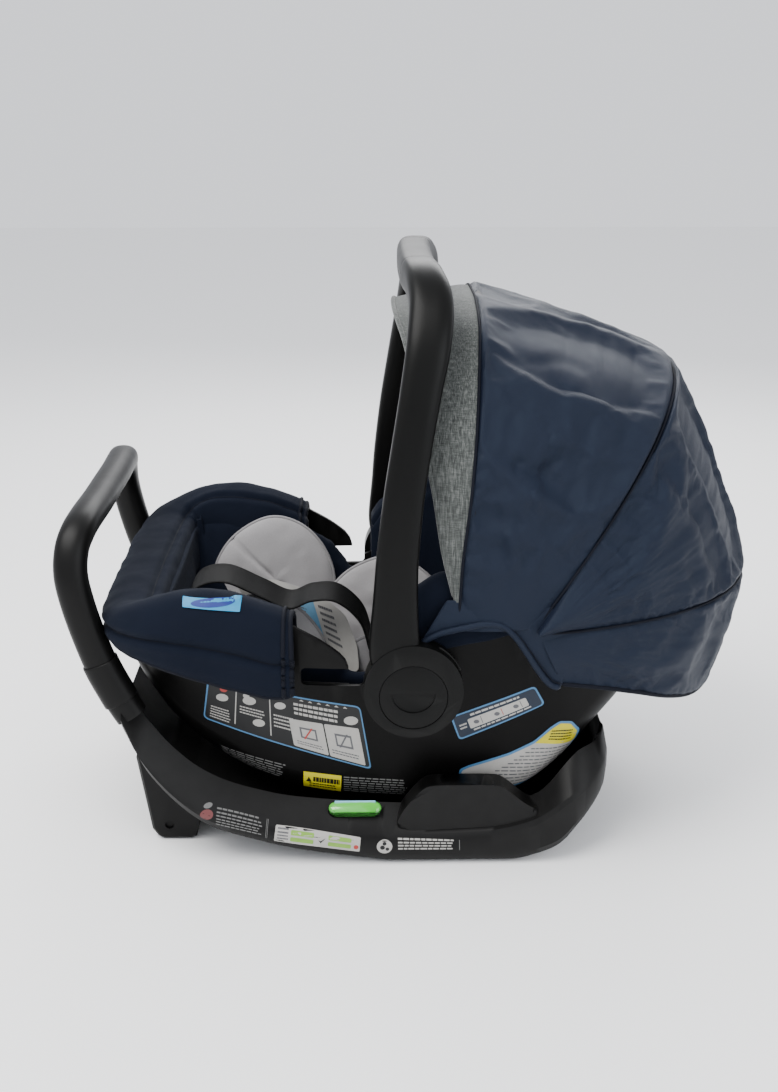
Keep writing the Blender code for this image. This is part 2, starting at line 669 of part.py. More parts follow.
# Height, X of the middle, Y of the middle, half depth along X, half thickness.
ARM = [
    (0.235, -0.020, 0.2128, 0.027, 0.0110), (0.257, -0.024, 0.2125, 0.0255, 0.0110),
    (0.300, -0.023, 0.2110, 0.0225, 0.0112), (0.346, -0.021, 0.2090, 0.0208, 0.0115),
    (0.405, -0.015, 0.2050, 0.0198, 0.0120), (0.455, -0.0075, 0.2000, 0.0195, 0.0125),
    (0.505, 0.0010, 0.1910, 0.0200, 0.0135), (0.550, 0.0090, 0.1760, 0.0215, 0.0155),
    (0.583, 0.0120, 0.1500, 0.0215, 0.0175), (0.600, 0.0070, 0.1180, 0.0195, 0.0180),
    (0.603, 0.0020, 0.0700, 0.0185, 0.0185),
]
GRIP_TOP = (0.603, 0.0010, 0.0, 0.0185, 0.0185)
GRIP_COVER_HALF = 0.082
GRIP_SPLIT = 0.6035


def handle_sweep(name, mat=None):
    arm = list(ARM)
    points = [(x, -y, z) for z, x, y, deep, wide in arm]
    points += [(GRIP_TOP[1], 0.0, GRIP_TOP[0])]
    points += [(x, y, z) for z, x, y, deep, wide in reversed(arm)]
    sizes = [row[3:] for row in arm] + [GRIP_TOP[3:]] + [row[3:] for row in reversed(arm)]
    path = smooth_path(points, 2)
    table_deep = [(i * 2, size[0]) for i, size in enumerate(sizes)]
    table_wide = [(i * 2, size[1]) for i, size in enumerate(sizes)]
    both = [(value_at(table_deep, i), value_at(table_wide, i)) for i in range(len(path))]
    return sweep(name, path, both, mat, sides=10, power=3.0)


def coil(name, centre, side, radius, length, turns, wire, mat):
    """A small compression spring about a Y axis."""
    path = []
    steps = int(turns * 10)
    for i in range(steps + 1):
        angle = 2 * math.pi * turns * i / steps
        path.append(Vector((
            centre[0] + radius * math.cos(angle),
            side * (centre[1] + wire + (length - 2 * wire) * i / steps),
            centre[2] + radius * math.sin(angle),
        )))
    return tube(name, path, wire, mat, resolution=0)


def smile(width, drop, steps=8):
    """Outline of a half-moon thumb recess, flat side up."""
    outline = [(width / 2, 0.0), (-width / 2, 0.0)]
    for i in range(1, steps):
        angle = math.pi * i / steps
        outline.append((-width / 2 * math.cos(angle), -drop * math.sin(angle)))
    return outline


BUTTON_CENTRE = (PIVOT[0], PIVOT[1] - 0.006)
POCKET_FLOOR = 0.2135


def make_handle(plastic, steel):
    handle = handle_sweep("handle_frame", plastic)
    for side in (-1, 1):
        join(handle, side_disc("hub", *PIVOT, HUB_RADIUS, HUB_IN, HUB_OUT, side, segments=32, bevel=0.003))
    grip_box = box("grip", (-0.1, -GRIP_COVER_HALF, GRIP_SPLIT), (0.1, GRIP_COVER_HALF, 0.7))
    cover = handle_sweep("handle_grip_cover", plastic)
    boolean(cover, grip_box, "INTERSECT")
    cut_half = GRIP_COVER_HALF + GAP
    cut(handle, box("grip_cut", (-0.1, -cut_half, GRIP_SPLIT - GAP), (0.1, cut_half, 0.7)))
    for side in (-1, 1):
        cut(
            handle,
            side_disc("pocket", *BUTTON_CENTRE, BUTTON_RADIUS + GAP, POCKET_FLOOR, 0.24, side, segments=36),
            side_disc("bore", *PIVOT, PIN_HOLE, 0.19, 0.22, side, segments=20),
        )
    pivoted(handle, (PIVOT[0], 0.0, PIVOT[1]))
    pivoted(cover, (PIVOT[0], 0.0, PIVOT[1]), handle)
    for side, word in ((-1, "left"), (1, "right")):
        side_disc("pivot_pin_" + word, *PIVOT, PIN_RADIUS, 0.1888, 0.2130, side, steel, segments=20)
        button = side_disc(
            "handle_button_" + word, *BUTTON_CENTRE, BUTTON_RADIUS, 0.2198, HUB_OUT - 0.0006, side, plastic,
            segments=36, bevel=0.0015,
        )
        thumb = [(BUTTON_CENTRE[0] + x, BUTTON_CENTRE[1] + 0.004 + z) for x, z in smile(0.044, 0.021)]
        cut(button, side_prism("thumb", thumb, HUB_OUT - 0.0032, 0.24, side))
        centre = (BUTTON_CENTRE[0], POCKET_FLOOR + 0.0003, BUTTON_CENTRE[1])
        coil("button_spring_" + word, centre, side, 0.0150, 0.0057, 2, 0.0007, steel)
        pivoted(button, (BUTTON_CENTRE[0], side * HUB_OUT, BUTTON_CENTRE[1]), handle)


# --- canopy --------------------------------------------------------------------------------

# Angle from upright towards the head end, and radius at mid-width.
CROWN = [
    (-9, 0.3140), (-5, 0.3000), (9, 0.2835), (21, 0.2815), (34, 0.2900), (42, 0.2730), (52, 0.2600),
    (71, 0.2450), (85, 0.2535), (95, 0.2510), (106, 0.2490), (116, 0.2550),
]
CANOPY_HALF = 0.2060
SECTION_POWER = 2.5
MID_BOW_ANGLE = 34.0
REAR_BOW_ANGLE = 85.0
FRONT_EDGE = [
    (0.040, 0.2060, 0.283), (0.043, 0.2060, 0.342), (0.050, 0.2030, 0.403), (0.055, 0.190, 0.460),
    (0.058, 0.168, 0.510), (0.061, 0.125, 0.555), (0.062, 0.062, 0.573), (0.062, 0.0, 0.576),
]
VISOR_EDGE = [
    (0.036, 0.2000, 0.300), (0.024, 0.1960, 0.350), (0.016, 0.1890, 0.400), (0.006, 0.1800, 0.450),
    (-0.002, 0.160, 0.500), (-0.012, 0.118, 0.540), (-0.020, 0.060, 0.558), (-0.022, 0.0, 0.561),
]


def both_sides(half):
    return [Vector((x, -y, z)) for x, y, z in half] + [Vector((x, y, z)) for x, y, z in reversed(half[:-1])]


def resample(points, count):
    """Evenly spaced points along a smooth curve through the given ones."""
    fine = smooth_path(points, 8)
    lengths = [0.0]
    for a, b in zip(fine, fine[1:]):
        lengths.append(lengths[-1] + (b - a).length)
    made = []
    k = 0
    for i in range(count):
        target = lengths[-1] * i / (count - 1)
        while k < len(fine) - 2 and lengths[k + 1] < target:
            k += 1
        t = (target - lengths[k]) / max(lengths[k + 1] - lengths[k], 1e-9)
        made.append(fine[k].lerp(fine[k + 1], min(max(t, 0.0), 1.0)))
    return made


def bow_curve(angle, inset=0.0, half=CANOPY_HALF, start=0.030):
    """Half of the canopy's section in the plane at this angle, from the side up to mid-width."""
    radius = value_at(CROWN, angle) - inset
    turn = math.radians(angle)
    points = []
    for share in (0.0, 0.2, 0.4, 0.58, 0.74, 0.86, 0.94, 0.985, 1.0):
        r = start + (radius - start) * share
        y = (half - inset) * (1 - (r / radius) ** SECTION_POWER) ** (1 / SECTION_POWER) if share < 1 else 0.0
        points.append((CANOPY_AXIS[0] + r * math.sin(turn), y, CANOPY_AXIS[1] + r * math.cos(turn)))
    return points


def blend_rows(first, last, count, bulge=None):
    """Rows between two curves; bulge pushes the middle rows out from the canopy's axis."""
    rows = []
    for i in range(count):
        t = i / (count - 1)
        row = []
        for a, b in zip(first, last):
            point = a.lerp(b, t)
            if bulge:
                centre = Vector((CANOPY_AXIS[0], 0.0, CANOPY_AXIS[1]))
                out = point - centre
                out.y *= 0.3
                push = bulge * math.sin(math.pi * t) * min(1.0, out.length / 0.2)
                point = point + out.normalized() * push
            row.append(point)
        rows.append(row)
    return rows


SKIRT_EDGE = [
    (0.145, 0.2020, 0.208), (0.185, 0.2000, 0.203), (0.225, 0.190, 0.193), (0.262, 0.168, 0.178),
    (0.295, 0.132, 0.164), (0.320, 0.088, 0.157), (0.336, 0.044, 0.155), (0.341, 0.0, 0.155),
]
COLUMNS = 21
REAR_ROOT = 0.028


def wire_bow(name, half_points, mat, eye_from, eye_to, eye=True):
    """A bent rod with a flat eye at each end."""
    path = resample(both_sides(half_points), 29)
    rod = tube(name, path, BOW_RADIUS, mat, resolution=1)
    bpy.context.view_layer.update()
    mesh = bpy.data.meshes.new_from_object(rod.evaluated_get(bpy.context.evaluated_depsgraph_get()))
    bpy.data.objects.remove(rod, do_unlink=True)
    bm = bmesh.new()
    bm.from_mesh(mesh)
    bmesh.ops.remove_doubles(bm, verts=bm.verts[:], dist=1e-5)
    bow = from_bmesh(name, bm, mat, 60)
    if eye:
        for side in (-1, 1):
            join(bow, side_disc("eye", *CANOPY_AXIS, 0.0105, eye_from, eye_to, side, segments=20))
            hole = side_disc(
                "eye_hole", *CANOPY_AXIS, BOW_HOLE, eye_from - 0.01, eye_to + 0.01, side, segments=16,
            )
            cut(bow, hole)
    return bow


def make_canopy(rod, navy, heather, plastic):
    def inset(points, across, inward):
        made = []
        for x, y, z in points:
            out = Vector((x - CANOPY_AXIS[0], 0.0, z - CANOPY_AXIS[1]))
            share = min(1.0, y / CANOPY_HALF)
            pull = inward * (1 - share ** 4)
            moved = Vector((x, 0.0, z)) - out.normalized() * pull
            made.append((moved.x, max(y - across, 0.0), moved.z))
        return made

    centre_x, centre_z = CANOPY_AXIS
    front = [(centre_x, 0.2010, centre_z), (0.085, 0.2010, 0.268), (0.060, 0.2010, 0.284)]
    edge = [(0.052, CANOPY_HALF, 0.315), *((x + 0.006, y, z) for x, y, z in FRONT_EDGE[1:])]
    front += inset(edge, 0.0070, 0.0065)
    front_bow = wire_bow("canopy_bow_front", front, rod, 0.1985, 0.2035)
    mid_half = CANOPY_HALF - 0.0035
    mid = [(centre_x, 0.1940, centre_z)]
    mid += [(x, min(y, 0.1950), z) for x, y, z in bow_curve(MID_BOW_ANGLE, 0.0085, mid_half)]
    mid_bow = wire_bow("canopy_bow_middle", mid, rod, 0.1915, 0.1965)
    rear = [(x, min(y - 0.002, 0.1975), z) for x, y, z in bow_curve(REAR_BOW_ANGLE, 0.0080, mid_half)[1:]]
    rear = [(x, max(y, 0.0), z) for x, y, z in rear]
    wire_bow("canopy_bow_rear", rear, rod, 0, 0, eye=False)

    seam_front = resample(both_sides(FRONT_EDGE), COLUMNS)
    seam_mid = resample(both_sides(bow_curve(MID_BOW_ANGLE)), COLUMNS)
    seam_rear = resample(both_sides(bow_curve(REAR_BOW_ANGLE, start=REAR_ROOT)), COLUMNS)
    hem = resample(both_sides(SKIRT_EDGE), COLUMNS)
    visor = resample(both_sides(VISOR_EDGE), COLUMNS)

    def gap_rows(rows, start, end):
        """Draws the first and last rows in a little, so that neighbouring panels don't touch."""
        rows = [list(row) for row in rows]
        if start:
            rows[0] = [a + (b - a).normalized() * start for a, b in zip(rows[0], rows[1])]
        if end:
            rows[-1] = [a + (b - a).normalized() * end for a, b in zip(rows[-1], rows[-2])]
        return rows

    front_rows = gap_rows(blend_rows(seam_front, seam_mid, 6, 0.004), 0.001, 0.001)
    rear_rows = gap_rows(blend_rows(seam_mid, seam_rear, 6, 0.010), 0.001, 0.001)
    skirt_rows = gap_rows(blend_rows(seam_rear, hem, 5, 0.004), 0.001, 0)
    sheet("canopy_panel_front", front_rows, FABRIC, navy)
    sheet("canopy_panel_rear", rear_rows, FABRIC, navy)
    sheet("canopy_skirt", skirt_rows, FABRIC, navy)
    tucked = [p + Vector((-0.0006, 0, 0)) for p in seam_front]
    sheet("canopy_visor", gap_rows(blend_rows(visor, tucked, 4), 0, 0.0004), 0.0015, heather)
    for side, word in ((-1, "left"), (1, "right")):
        mount = side_disc(
            "canopy_mount_" + word, *CANOPY_AXIS, MOUNT_RADIUS, 0.1868, 0.2037, side, plastic, segments=16,
        )
        pivoted(mount, (centre_x, side * 0.2, centre_z))
    pivoted(mid_bow, (centre_x, 0.0, centre_z))
    pivoted(front_bow, (centre_x, 0.0, centre_z), mid_bow)


# --- harness and latches -------------------------------------------------------------------

def pad_surface(x):
    """Height of the seat pad's inner face at mid-width."""
    return value_at(SHELL_LOW, x) + CAVITY


def make_harness(webbing, plastic, red):
    near = [
        (-0.042, -0.129, 0.200), (-0.048, -0.132, 0.228), (-0.058, -0.134, 0.260), (-0.082, -0.134, 0.282),
        (-0.108, -0.134, 0.283), (-0.132, -0.134, 0.275), (-0.160, -0.134, 0.288), (-0.195, -0.134, 0.304),
        (-0.222, -0.134, 0.300), (-0.234, -0.131, 0.282), (-0.236, -0.129, 0.268),
    ]
    path = resample(near, 30)
    strap("shoulder_strap_left", path, (0.05, 1.0, 0.25), *WEBBING, webbing)
    lifts = ((0.130, 0.012), (0.09, 0.016), (0.04, 0.016), (-0.02, 0.016))
    far = [(x, 0.048, pad_surface(x) + lift) for x, lift in lifts]
    far += [(-0.058, 0.030, 0.120)]
    strap("shoulder_strap_right", resample(far, 14), (0.0, 1.0, 0.0), *WEBBING, webbing)
    seat = pad_surface(0.03)
    clip = box("chest_clip", (0.015, 0.024, seat + 0.0125), (0.047, 0.072, seat + 0.0245), plastic, 0.002)
    cut(clip, box("channel", (0.0, 0.0295, seat + 0.0134), (0.06, 0.0665, seat + 0.0195)))

    buckle = box("buckle", (-0.105, -0.024, 0.112), (-0.066, 0.024, 0.132), plastic, 0.004)
    cut(buckle, box("button_well", (-0.098, -0.012, 0.1255), (-0.078, 0.012, 0.14)))
    box("buckle_button", (-0.0975, -0.0115, 0.1285), (-0.0785, 0.0115, 0.1345), red, 0.001)
    crotch = [(-0.150, 0.0, pad_surface(-0.15) + 0.003)]
    crotch += [(-0.140, 0.0, 0.112), (-0.125, 0.0, 0.120), (-0.1060, 0.0, 0.122)]
    strap("crotch_strap", resample(crotch, 8), (0, 1, 0), 0.036, 0.0022, webbing)
    adjust = [(x, 0.0, pad_surface(x) + 0.003) for x in (-0.255, -0.235, -0.215, -0.195)]
    strap("adjuster_strap", resample(adjust, 6), (0, 1, 0), 0.025, 0.0016, webbing)


def make_latches(plastic, steel):
    for word, x in LATCHES.items():
        low, high = (x - 0.0140, -0.028, 0.0215), (x - 0.0045, 0.028, 0.0392)
        pawl = box("latch_pawl_" + word, low, high, steel, 0.001)
        pivoted(pawl, (x - 0.009, 0.0, 0.030))
    handle = prism("release_handle", [
        (0.262, 0.170), (0.300, 0.176), (0.304, 0.182), (0.304, 0.188), (0.296, 0.190), (0.262, 0.184),
    ], -0.055, 0.055, plastic, bevel=0.002)
    pivoted(handle, (0.283, 0.0, 0.180))


def main():
    clear_scene()
    base_plastic = material("base_plastic", (0.035, 0.033, 0.032), 0.55)
    shell_plastic = material("shell_plastic", (0.020, 0.019, 0.018), 0.50)
    handle_plastic = material("handle_plastic", (0.045, 0.045, 0.042), 0.60)
    steel = material("steel", (0.55, 0.55, 0.56), 0.35, 1.0)
    level_green = material("level_green", (0.11, 0.55, 0.06), 0.2)
    foam = material("foam", (0.75, 0.75, 0.74), 0.9)
    navy = material("navy_fabric", (0.020, 0.028, 0.055), 0.9)
    grey = material("grey_fabric", (0.50, 0.48, 0.48), 0.95)
    heather = material("heather_fabric", (0.16, 0.18, 0.17), 0.95)
    webbing = material("webbing", (0.02, 0.02, 0.022), 0.85)
    red = material("red_button", (0.5, 0.02, 0.02), 0.4)
    housing = make_base(base_plastic, steel, level_green)
    make_rebound_bar(base_plastic, housing)
    make_recline_foot(base_plastic)
    make_shell(shell_plastic, foam)
    make_pads(navy, grey)
    make_handle(handle_plastic, steel)
    make_canopy(steel, navy, heather, handle_plastic)
    make_harness(webbing, shell_plastic, red)
    make_latches(handle_plastic, steel)


main()
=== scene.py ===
"""Infant car seat on its base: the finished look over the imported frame.

+X is the head end, -Y the child's left side, +Z up. Metres.
"""

import math

import bmesh
import bpy
import numpy as np
from mathutils import Matrix, Vector, bvhtree, geometry, noise


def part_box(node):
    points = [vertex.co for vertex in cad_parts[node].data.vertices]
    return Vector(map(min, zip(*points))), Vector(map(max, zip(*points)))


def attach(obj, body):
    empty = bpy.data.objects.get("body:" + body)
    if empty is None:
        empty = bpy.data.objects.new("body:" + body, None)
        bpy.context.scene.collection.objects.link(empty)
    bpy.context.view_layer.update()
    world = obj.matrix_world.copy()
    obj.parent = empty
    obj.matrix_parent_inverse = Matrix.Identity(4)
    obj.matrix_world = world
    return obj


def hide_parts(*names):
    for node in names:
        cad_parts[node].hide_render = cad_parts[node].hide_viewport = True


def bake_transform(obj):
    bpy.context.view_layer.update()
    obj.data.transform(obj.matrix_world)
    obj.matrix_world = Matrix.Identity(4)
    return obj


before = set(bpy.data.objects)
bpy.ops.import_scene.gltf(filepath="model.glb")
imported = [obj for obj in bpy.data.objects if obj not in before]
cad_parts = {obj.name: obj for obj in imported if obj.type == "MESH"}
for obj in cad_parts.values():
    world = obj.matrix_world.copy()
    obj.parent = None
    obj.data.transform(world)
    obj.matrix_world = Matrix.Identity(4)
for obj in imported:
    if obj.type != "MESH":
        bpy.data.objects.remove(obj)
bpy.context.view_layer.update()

# X and Z of the bows' axis, at the middle of a canopy mount.
MOUNT_LOW, MOUNT_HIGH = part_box("canopy_mount_left")
CANOPY_AXIS = ((MOUNT_LOW[0] + MOUNT_HIGH[0]) / 2, (MOUNT_LOW[2] + MOUNT_HIGH[2]) / 2)


# --- camera, light and floor ---------------------------------------------------------------

# The camera fitted to the photo: place, turn to the right, tilt down, focal length in mm.
CAMERA_PLACE = (-0.048, -1.465, 0.797)
CAMERA_YAW = math.radians(0.85)
CAMERA_PITCH = math.radians(19.20)
CAMERA_LENS = 45.14


def make_camera():
    camera = bpy.data.objects.new("camera", bpy.data.cameras.new("camera"))
    bpy.context.scene.collection.objects.link(camera)
    level = math.cos(CAMERA_PITCH)
    ahead = Vector((math.sin(CAMERA_YAW) * level, math.cos(CAMERA_YAW) * level, -math.sin(CAMERA_PITCH)))
    camera.location = CAMERA_PLACE
    camera.rotation_euler = ahead.to_track_quat("-Z", "Y").to_euler()
    camera.data.sensor_width = 36.0
    camera.data.lens = CAMERA_LENS
    camera.data.clip_start = 0.05
    bpy.context.scene.camera = camera


def make_light(name, place, aim, size, power, colour=(1.0, 1.0, 1.0)):
    data = bpy.data.lights.new(name, "AREA")
    data.shape = "RECTANGLE"
    data.size, data.size_y = size
    data.energy = power
    data.color = colour
    lamp = bpy.data.objects.new(name, data)
    lamp.location = place
    lamp.rotation_euler = (Vector(aim) - Vector(place)).to_track_quat("-Z", "Y").to_euler()
    bpy.context.scene.collection.objects.link(lamp)


def make_stage():
    world = bpy.data.worlds.new("studio")
    world.use_nodes = True
    world.node_tree.nodes["Background"].inputs["Color"].default_value = (0.93, 0.95, 1.0, 1.0)
    world.node_tree.nodes["Background"].inputs["Strength"].default_value = 1.25
    bpy.context.scene.world = world
    make_light("window", (-0.9, -0.7, 2.0), (0.0, 0.0, 0.25), (1.6, 1.2), 70, (1.0, 0.99, 0.97))
    make_light("fill", (1.3, -1.6, 1.1), (0.1, 0.0, 0.3), (1.4, 1.4), 20, (0.94, 0.97, 1.0))
    make_light("back", (0.3, 1.6, 1.5), (0.0, 0.0, 0.4), (1.8, 0.9), 34)
    bm = bmesh.new()
    bmesh.ops.create_grid(bm, x_segments=2, y_segments=2, size=6.0)
    floor = from_bmesh("floor", bm, new_material("floor_paper", (0.92, 0.92, 0.92), 0.9))
    floor.location.z = -0.0005


# --- node helpers --------------------------------------------------------------------------

def new_material(name, colour, roughness, metallic=0.0):
    made = bpy.data.materials.new(name)
    made.use_nodes = True
    shader = made.node_tree.nodes["Principled BSDF"]
    shader.inputs["Base Color"].default_value = (*colour, 1.0)
    shader.inputs["Roughness"].default_value = roughness
    shader.inputs["Metallic"].default_value = metallic
    made.diffuse_color = (*colour, 1.0)
    return made


class Nodes:
    """Short calls for a material's node tree."""

    def __init__(self, made):
        self.tree = made.node_tree
        self.shader = self.tree.nodes["Principled BSDF"]
        self.place = self.tree.nodes.new("ShaderNodeTexCoord").outputs["Object"]

    def add(self, kind, inputs, **settings):
        node = self.tree.nodes.new(kind)
        for key, value in settings.items():
            setattr(node, key, value)
        for key, value in inputs.items():
            if isinstance(value, bpy.types.NodeSocket):
                self.tree.links.new(value, node.inputs[key])
            else:
                node.inputs[key].default_value = value
        return node

    def set(self, **constants):
        """Constants on the shader's sockets, with _ for each space of a socket's name."""
        for key, value in constants.items():
            self.shader.inputs[key.replace("_", " ")].default_value = value

    def link(self, output, key):
        self.tree.links.new(output, self.shader.inputs[key])

    def noise(self, scale, detail=3.0, rough=0.5, vector=None):
        return self.add("ShaderNodeTexNoise", {
            "Vector": vector or self.place, "Scale": scale, "Detail": detail, "Roughness": rough,
        }).outputs["Fac"]

    def stretched(self, scale):
        return self.add("ShaderNodeMapping", {"Vector": self.place, "Scale": scale}).outputs["Vector"]

    def wave(self, scale, direction, distortion, detail=0.0):
        return self.add("ShaderNodeTexWave", {
            "Vector": self.place, "Scale": scale, "Distortion": distortion, "Detail": detail,
        }, bands_direction=direction, wave_profile="SIN").outputs["Fac"]

    def maths(self, operation, a, b):
        return self.add("ShaderNodeMath", {0: a, 1: b}, operation=operation).outputs[0]

    def ramp(self, value, *stops):
        node = self.add("ShaderNodeValToRGB", {"Fac": value})
        band = node.color_ramp
        band.elements[0].position, band.elements[-1].position = stops[0][0], stops[-1][0]
        band.elements[0].color = (*stops[0][1], 1.0)
        band.elements[-1].color = (*stops[-1][1], 1.0)
        for place, colour in stops[1:-1]:
            band.elements.new(place).color = (*colour, 1.0)
        return node.outputs["Color"]

    def mix(self, share, a, b):
        """A colour between a and b. Each is a colour or a socket, and share is a socket."""
        a, b = (side if isinstance(side, bpy.types.NodeSocket) else (*side, 1.0) for side in (a, b))
        return self.add("ShaderNodeMix", {0: share, 6: a, 7: b}, data_type="RGBA").outputs[2]

    def span(self, value, low, high, first=0.0, last=1.0):
        """A number map from first..last to low..high."""
        return self.add("ShaderNodeMapRange", {
            "Value": value, "From Min": first, "From Max": last, "To Min": low, "To Max": high,
        }).outputs["Result"]

    def bump(self, *layers):
        """Stacks (height, strength, distance) bumps."""
        below = {}
        for height, strength, distance in layers:
            node = self.add("ShaderNodeBump", {
                "Height": height, "Strength": strength, "Distance": distance, **below,
            })
            below = {"Normal": node.outputs["Normal"]}
        self.link(below["Normal"], "Normal")

    def edges(self):
        """0 on flat faces, towards 1 along worn edges."""
        return self.span(self.add("ShaderNodeNewGeometry", {}).outputs["Pointiness"], 0.0, 1.0, 0.515, 0.60)


def plastic(name, dark, light, rough, grain, scale, shine):
    """Moulded plastic: fine spark-eroded grain, faint cloudy variation, paler worn edges."""
    made = new_material(name, dark, rough)
    n = Nodes(made)
    n.set(Specular_IOR_Level=shine)
    cloud = n.noise(9.0, 4.0, 0.6)
    fine = n.noise(scale, 2.0, 0.6)
    base = n.mix(n.span(cloud, 0.0, 0.55), dark, light)
    worn = n.maths("MULTIPLY", n.edges(), n.span(n.noise(60.0), 0.15, 0.6))
    n.link(n.mix(worn, base, [min(1.0, c * 2.0 + 0.004) for c in light]), "Base Color")
    n.link(n.span(n.noise(26.0, 5.0, 0.65), rough - 0.07, rough + 0.09), "Roughness")
    n.bump((fine, grain, 0.0004), (n.noise(5.0, 2.0), 0.05, 0.004))
    return made


def weave(name, dark, light, thread, fuzz, rough, cloudy, wrinkle, shine=0.12, gleam=(1.0, 1.0, 1.0)):
    """Plain-woven cloth: two sets of threads, cloudy dye, soft creases and a little sheen."""
    made = new_material(name, dark, rough)
    n = Nodes(made)
    n.set(
        Sheen_Weight=fuzz, Sheen_Roughness=0.45, Sheen_Tint=(*(min(1.0, c * 6 + 0.25) for c in light), 1.0),
        Specular_IOR_Level=shine, Specular_Tint=(*gleam, 1.0),
    )
    cloth = n.maths("MULTIPLY", n.wave(thread, "DIAGONAL", 0.6, 1.0), n.wave(thread, "Z", 0.6, 1.0))
    cloud = n.noise(14.0, 5.0, 0.65)
    fleck = n.noise(650.0, 2.0, 0.7)
    tone = n.maths("MULTIPLY", n.span(cloud, 1.0 - cloudy, 1.0), n.span(fleck, 0.55, 1.25))
    n.link(n.mix(tone, dark, light), "Base Color")
    n.link(n.span(fleck, rough - 0.08, rough + 0.1), "Roughness")
    n.bump((n.noise(7.0, 3.0, 0.55), wrinkle, 0.010), (cloth, 0.35, 0.0004), (fleck, 0.30, 0.0004))
    return made


def heather(name):
    """Melange cloth: pale and dark yarns in long broken vertical streaks."""
    made = new_material(name, (0.17, 0.19, 0.18), 0.9)
    n = Nodes(made)
    n.set(Sheen_Weight=0.25, Specular_IOR_Level=0.2)
    streak = n.noise(1.0, 4.0, 0.7, n.stretched((900.0, 420.0, 55.0)))
    cross = n.noise(1.0, 3.0, 0.7, n.stretched((120.0, 90.0, 900.0)))
    both = n.maths("ADD", n.maths("MULTIPLY", streak, 0.68), n.maths("MULTIPLY", cross, 0.32))
    n.link(n.ramp(
        both, (0.38, (0.020, 0.0225, 0.0215)), (0.50, (0.052, 0.057, 0.054)), (0.64, (0.125, 0.132, 0.125)),
    ), "Base Color")
    n.bump((n.noise(6.0, 2.0), 0.2, 0.010), (both, 0.5, 0.0006))
    return made


def webbing_cloth(name, dark, light):
    """Seat-belt webbing with tight cross ribs."""
    made = new_material(name, dark, 0.6)
    n = Nodes(made)
    n.set(Specular_IOR_Level=0.12)
    ribs = n.wave(520.0, "DIAGONAL", 0.2)
    n.link(n.mix(n.maths("MULTIPLY", ribs, n.noise(300.0)), dark, light), "Base Color")
    n.bump((ribs, 0.5, 0.0005), (n.noise(900.0), 0.2, 0.0003))
    return made


def metal(name):
    made = new_material(name, (0.52, 0.52, 0.53), 0.34, 1.0)
    n = Nodes(made)
    n.link(n.span(n.noise(160.0, 3.0, 0.6, n.stretched((1.0, 8.0, 1.0))), 0.26, 0.48), "Roughness")
    n.bump((n.noise(500.0), 0.08, 0.0003))
    return made


def lens_plastic(name):
    """Clear window over a green tell-tale, with a painted highlight in pale blue along its upper edge."""
    made = new_material(name, (0.1, 0.5, 0.1), 0.12)
    n = Nodes(made)
    n.set(Coat_Weight=0.8)
    height = n.add("ShaderNodeSeparateXYZ", {"Vector": n.place}).outputs["Z"]
    wobble = n.maths("ADD", n.span(height, 0.0, 1.0, 0.056, 0.0675), n.span(n.noise(120.0), -0.06, 0.06))
    # By height: dark green low down, then green, then a painted highlight in pale blue towards the top.
    n.link(n.ramp(
        wobble, (0.0, (0.015, 0.09, 0.012)), (0.25, (0.07, 0.42, 0.045)), (0.66, (0.10, 0.52, 0.06)),
        (0.74, (0.20, 0.47, 0.62)), (1.0, (0.32, 0.62, 0.80)),
    ), "Base Color")
    n.bump((n.noise(220.0), 0.05, 0.0004))
    return made


def foam_bead(name):
    made = new_material(name, (0.008, 0.008, 0.008), 0.9)
    n = Nodes(made)
    beads = n.add("ShaderNodeTexVoronoi", {"Vector": n.place, "Scale": 320.0}).outputs["Distance"]
    n.link(n.mix(beads, (0.010, 0.010, 0.011), (0.004, 0.004, 0.004)), "Base Color")
    n.bump((beads, 0.5, 0.0008))
    return made


def ink(name, colour):
    """Printed film: faint mottling and a slight gloss."""
    rough = 0.42
    made = new_material("print_" + name, colour, rough)
    n = Nodes(made)
    n.set(Specular_IOR_Level=0.3)
    mottle = n.noise(140.0, 4.0, 0.6)
    n.link(n.mix(mottle, [c * 0.86 for c in colour], [min(1.0, c * 1.06) for c in colour]), "Base Color")
    n.link(n.span(n.noise(40.0), rough - 0.08, rough + 0.1), "Roughness")
    n.bump((n.noise(600.0), 0.05, 0.0002))
    return made


INKS = {
    "blue": (0.055, 0.16, 0.30), "black": (0.0035, 0.0037, 0.0045), "night": (0.005, 0.012, 0.026),
    "paper": (0.34, 0.33, 0.31), "red": (0.33, 0.035, 0.03), "grey": (0.08, 0.08, 0.088),
    "yellow": (0.50, 0.44, 0.012), "dim": (0.11, 0.11, 0.107), "green": (0.17, 0.32, 0.05),
    "dull_red": (0.12, 0.035, 0.035), "sky": (0.020, 0.20, 0.38), "royal": (0.006, 0.020, 0.16),
    "sky_pale": (0.11, 0.25, 0.38), "white_print": (0.42, 0.44, 0.46),
}
# Name, dark and light colour, roughness, grain, grain scale, shine.
PLASTICS = {
    "base": ("base_plastic", (0.0024, 0.0023, 0.0023), (0.0042, 0.0041, 0.0040), 0.40, 0.06, 1200.0, 0.13),
    "shell": ("shell_plastic", (0.0010, 0.0009, 0.0009), (0.0020, 0.0019, 0.0018), 0.42, 0.10, 900.0, 0.09),
    "handle": ("handle_plastic", (0.0014, 0.0014, 0.0013), (0.0028, 0.0029, 0.0027), 0.38, 0.14, 800.0, 0.12),
    "red": ("red_button", (0.36, 0.012, 0.012), (0.46, 0.02, 0.018), 0.34, 0.04, 900.0, 0.3),
}
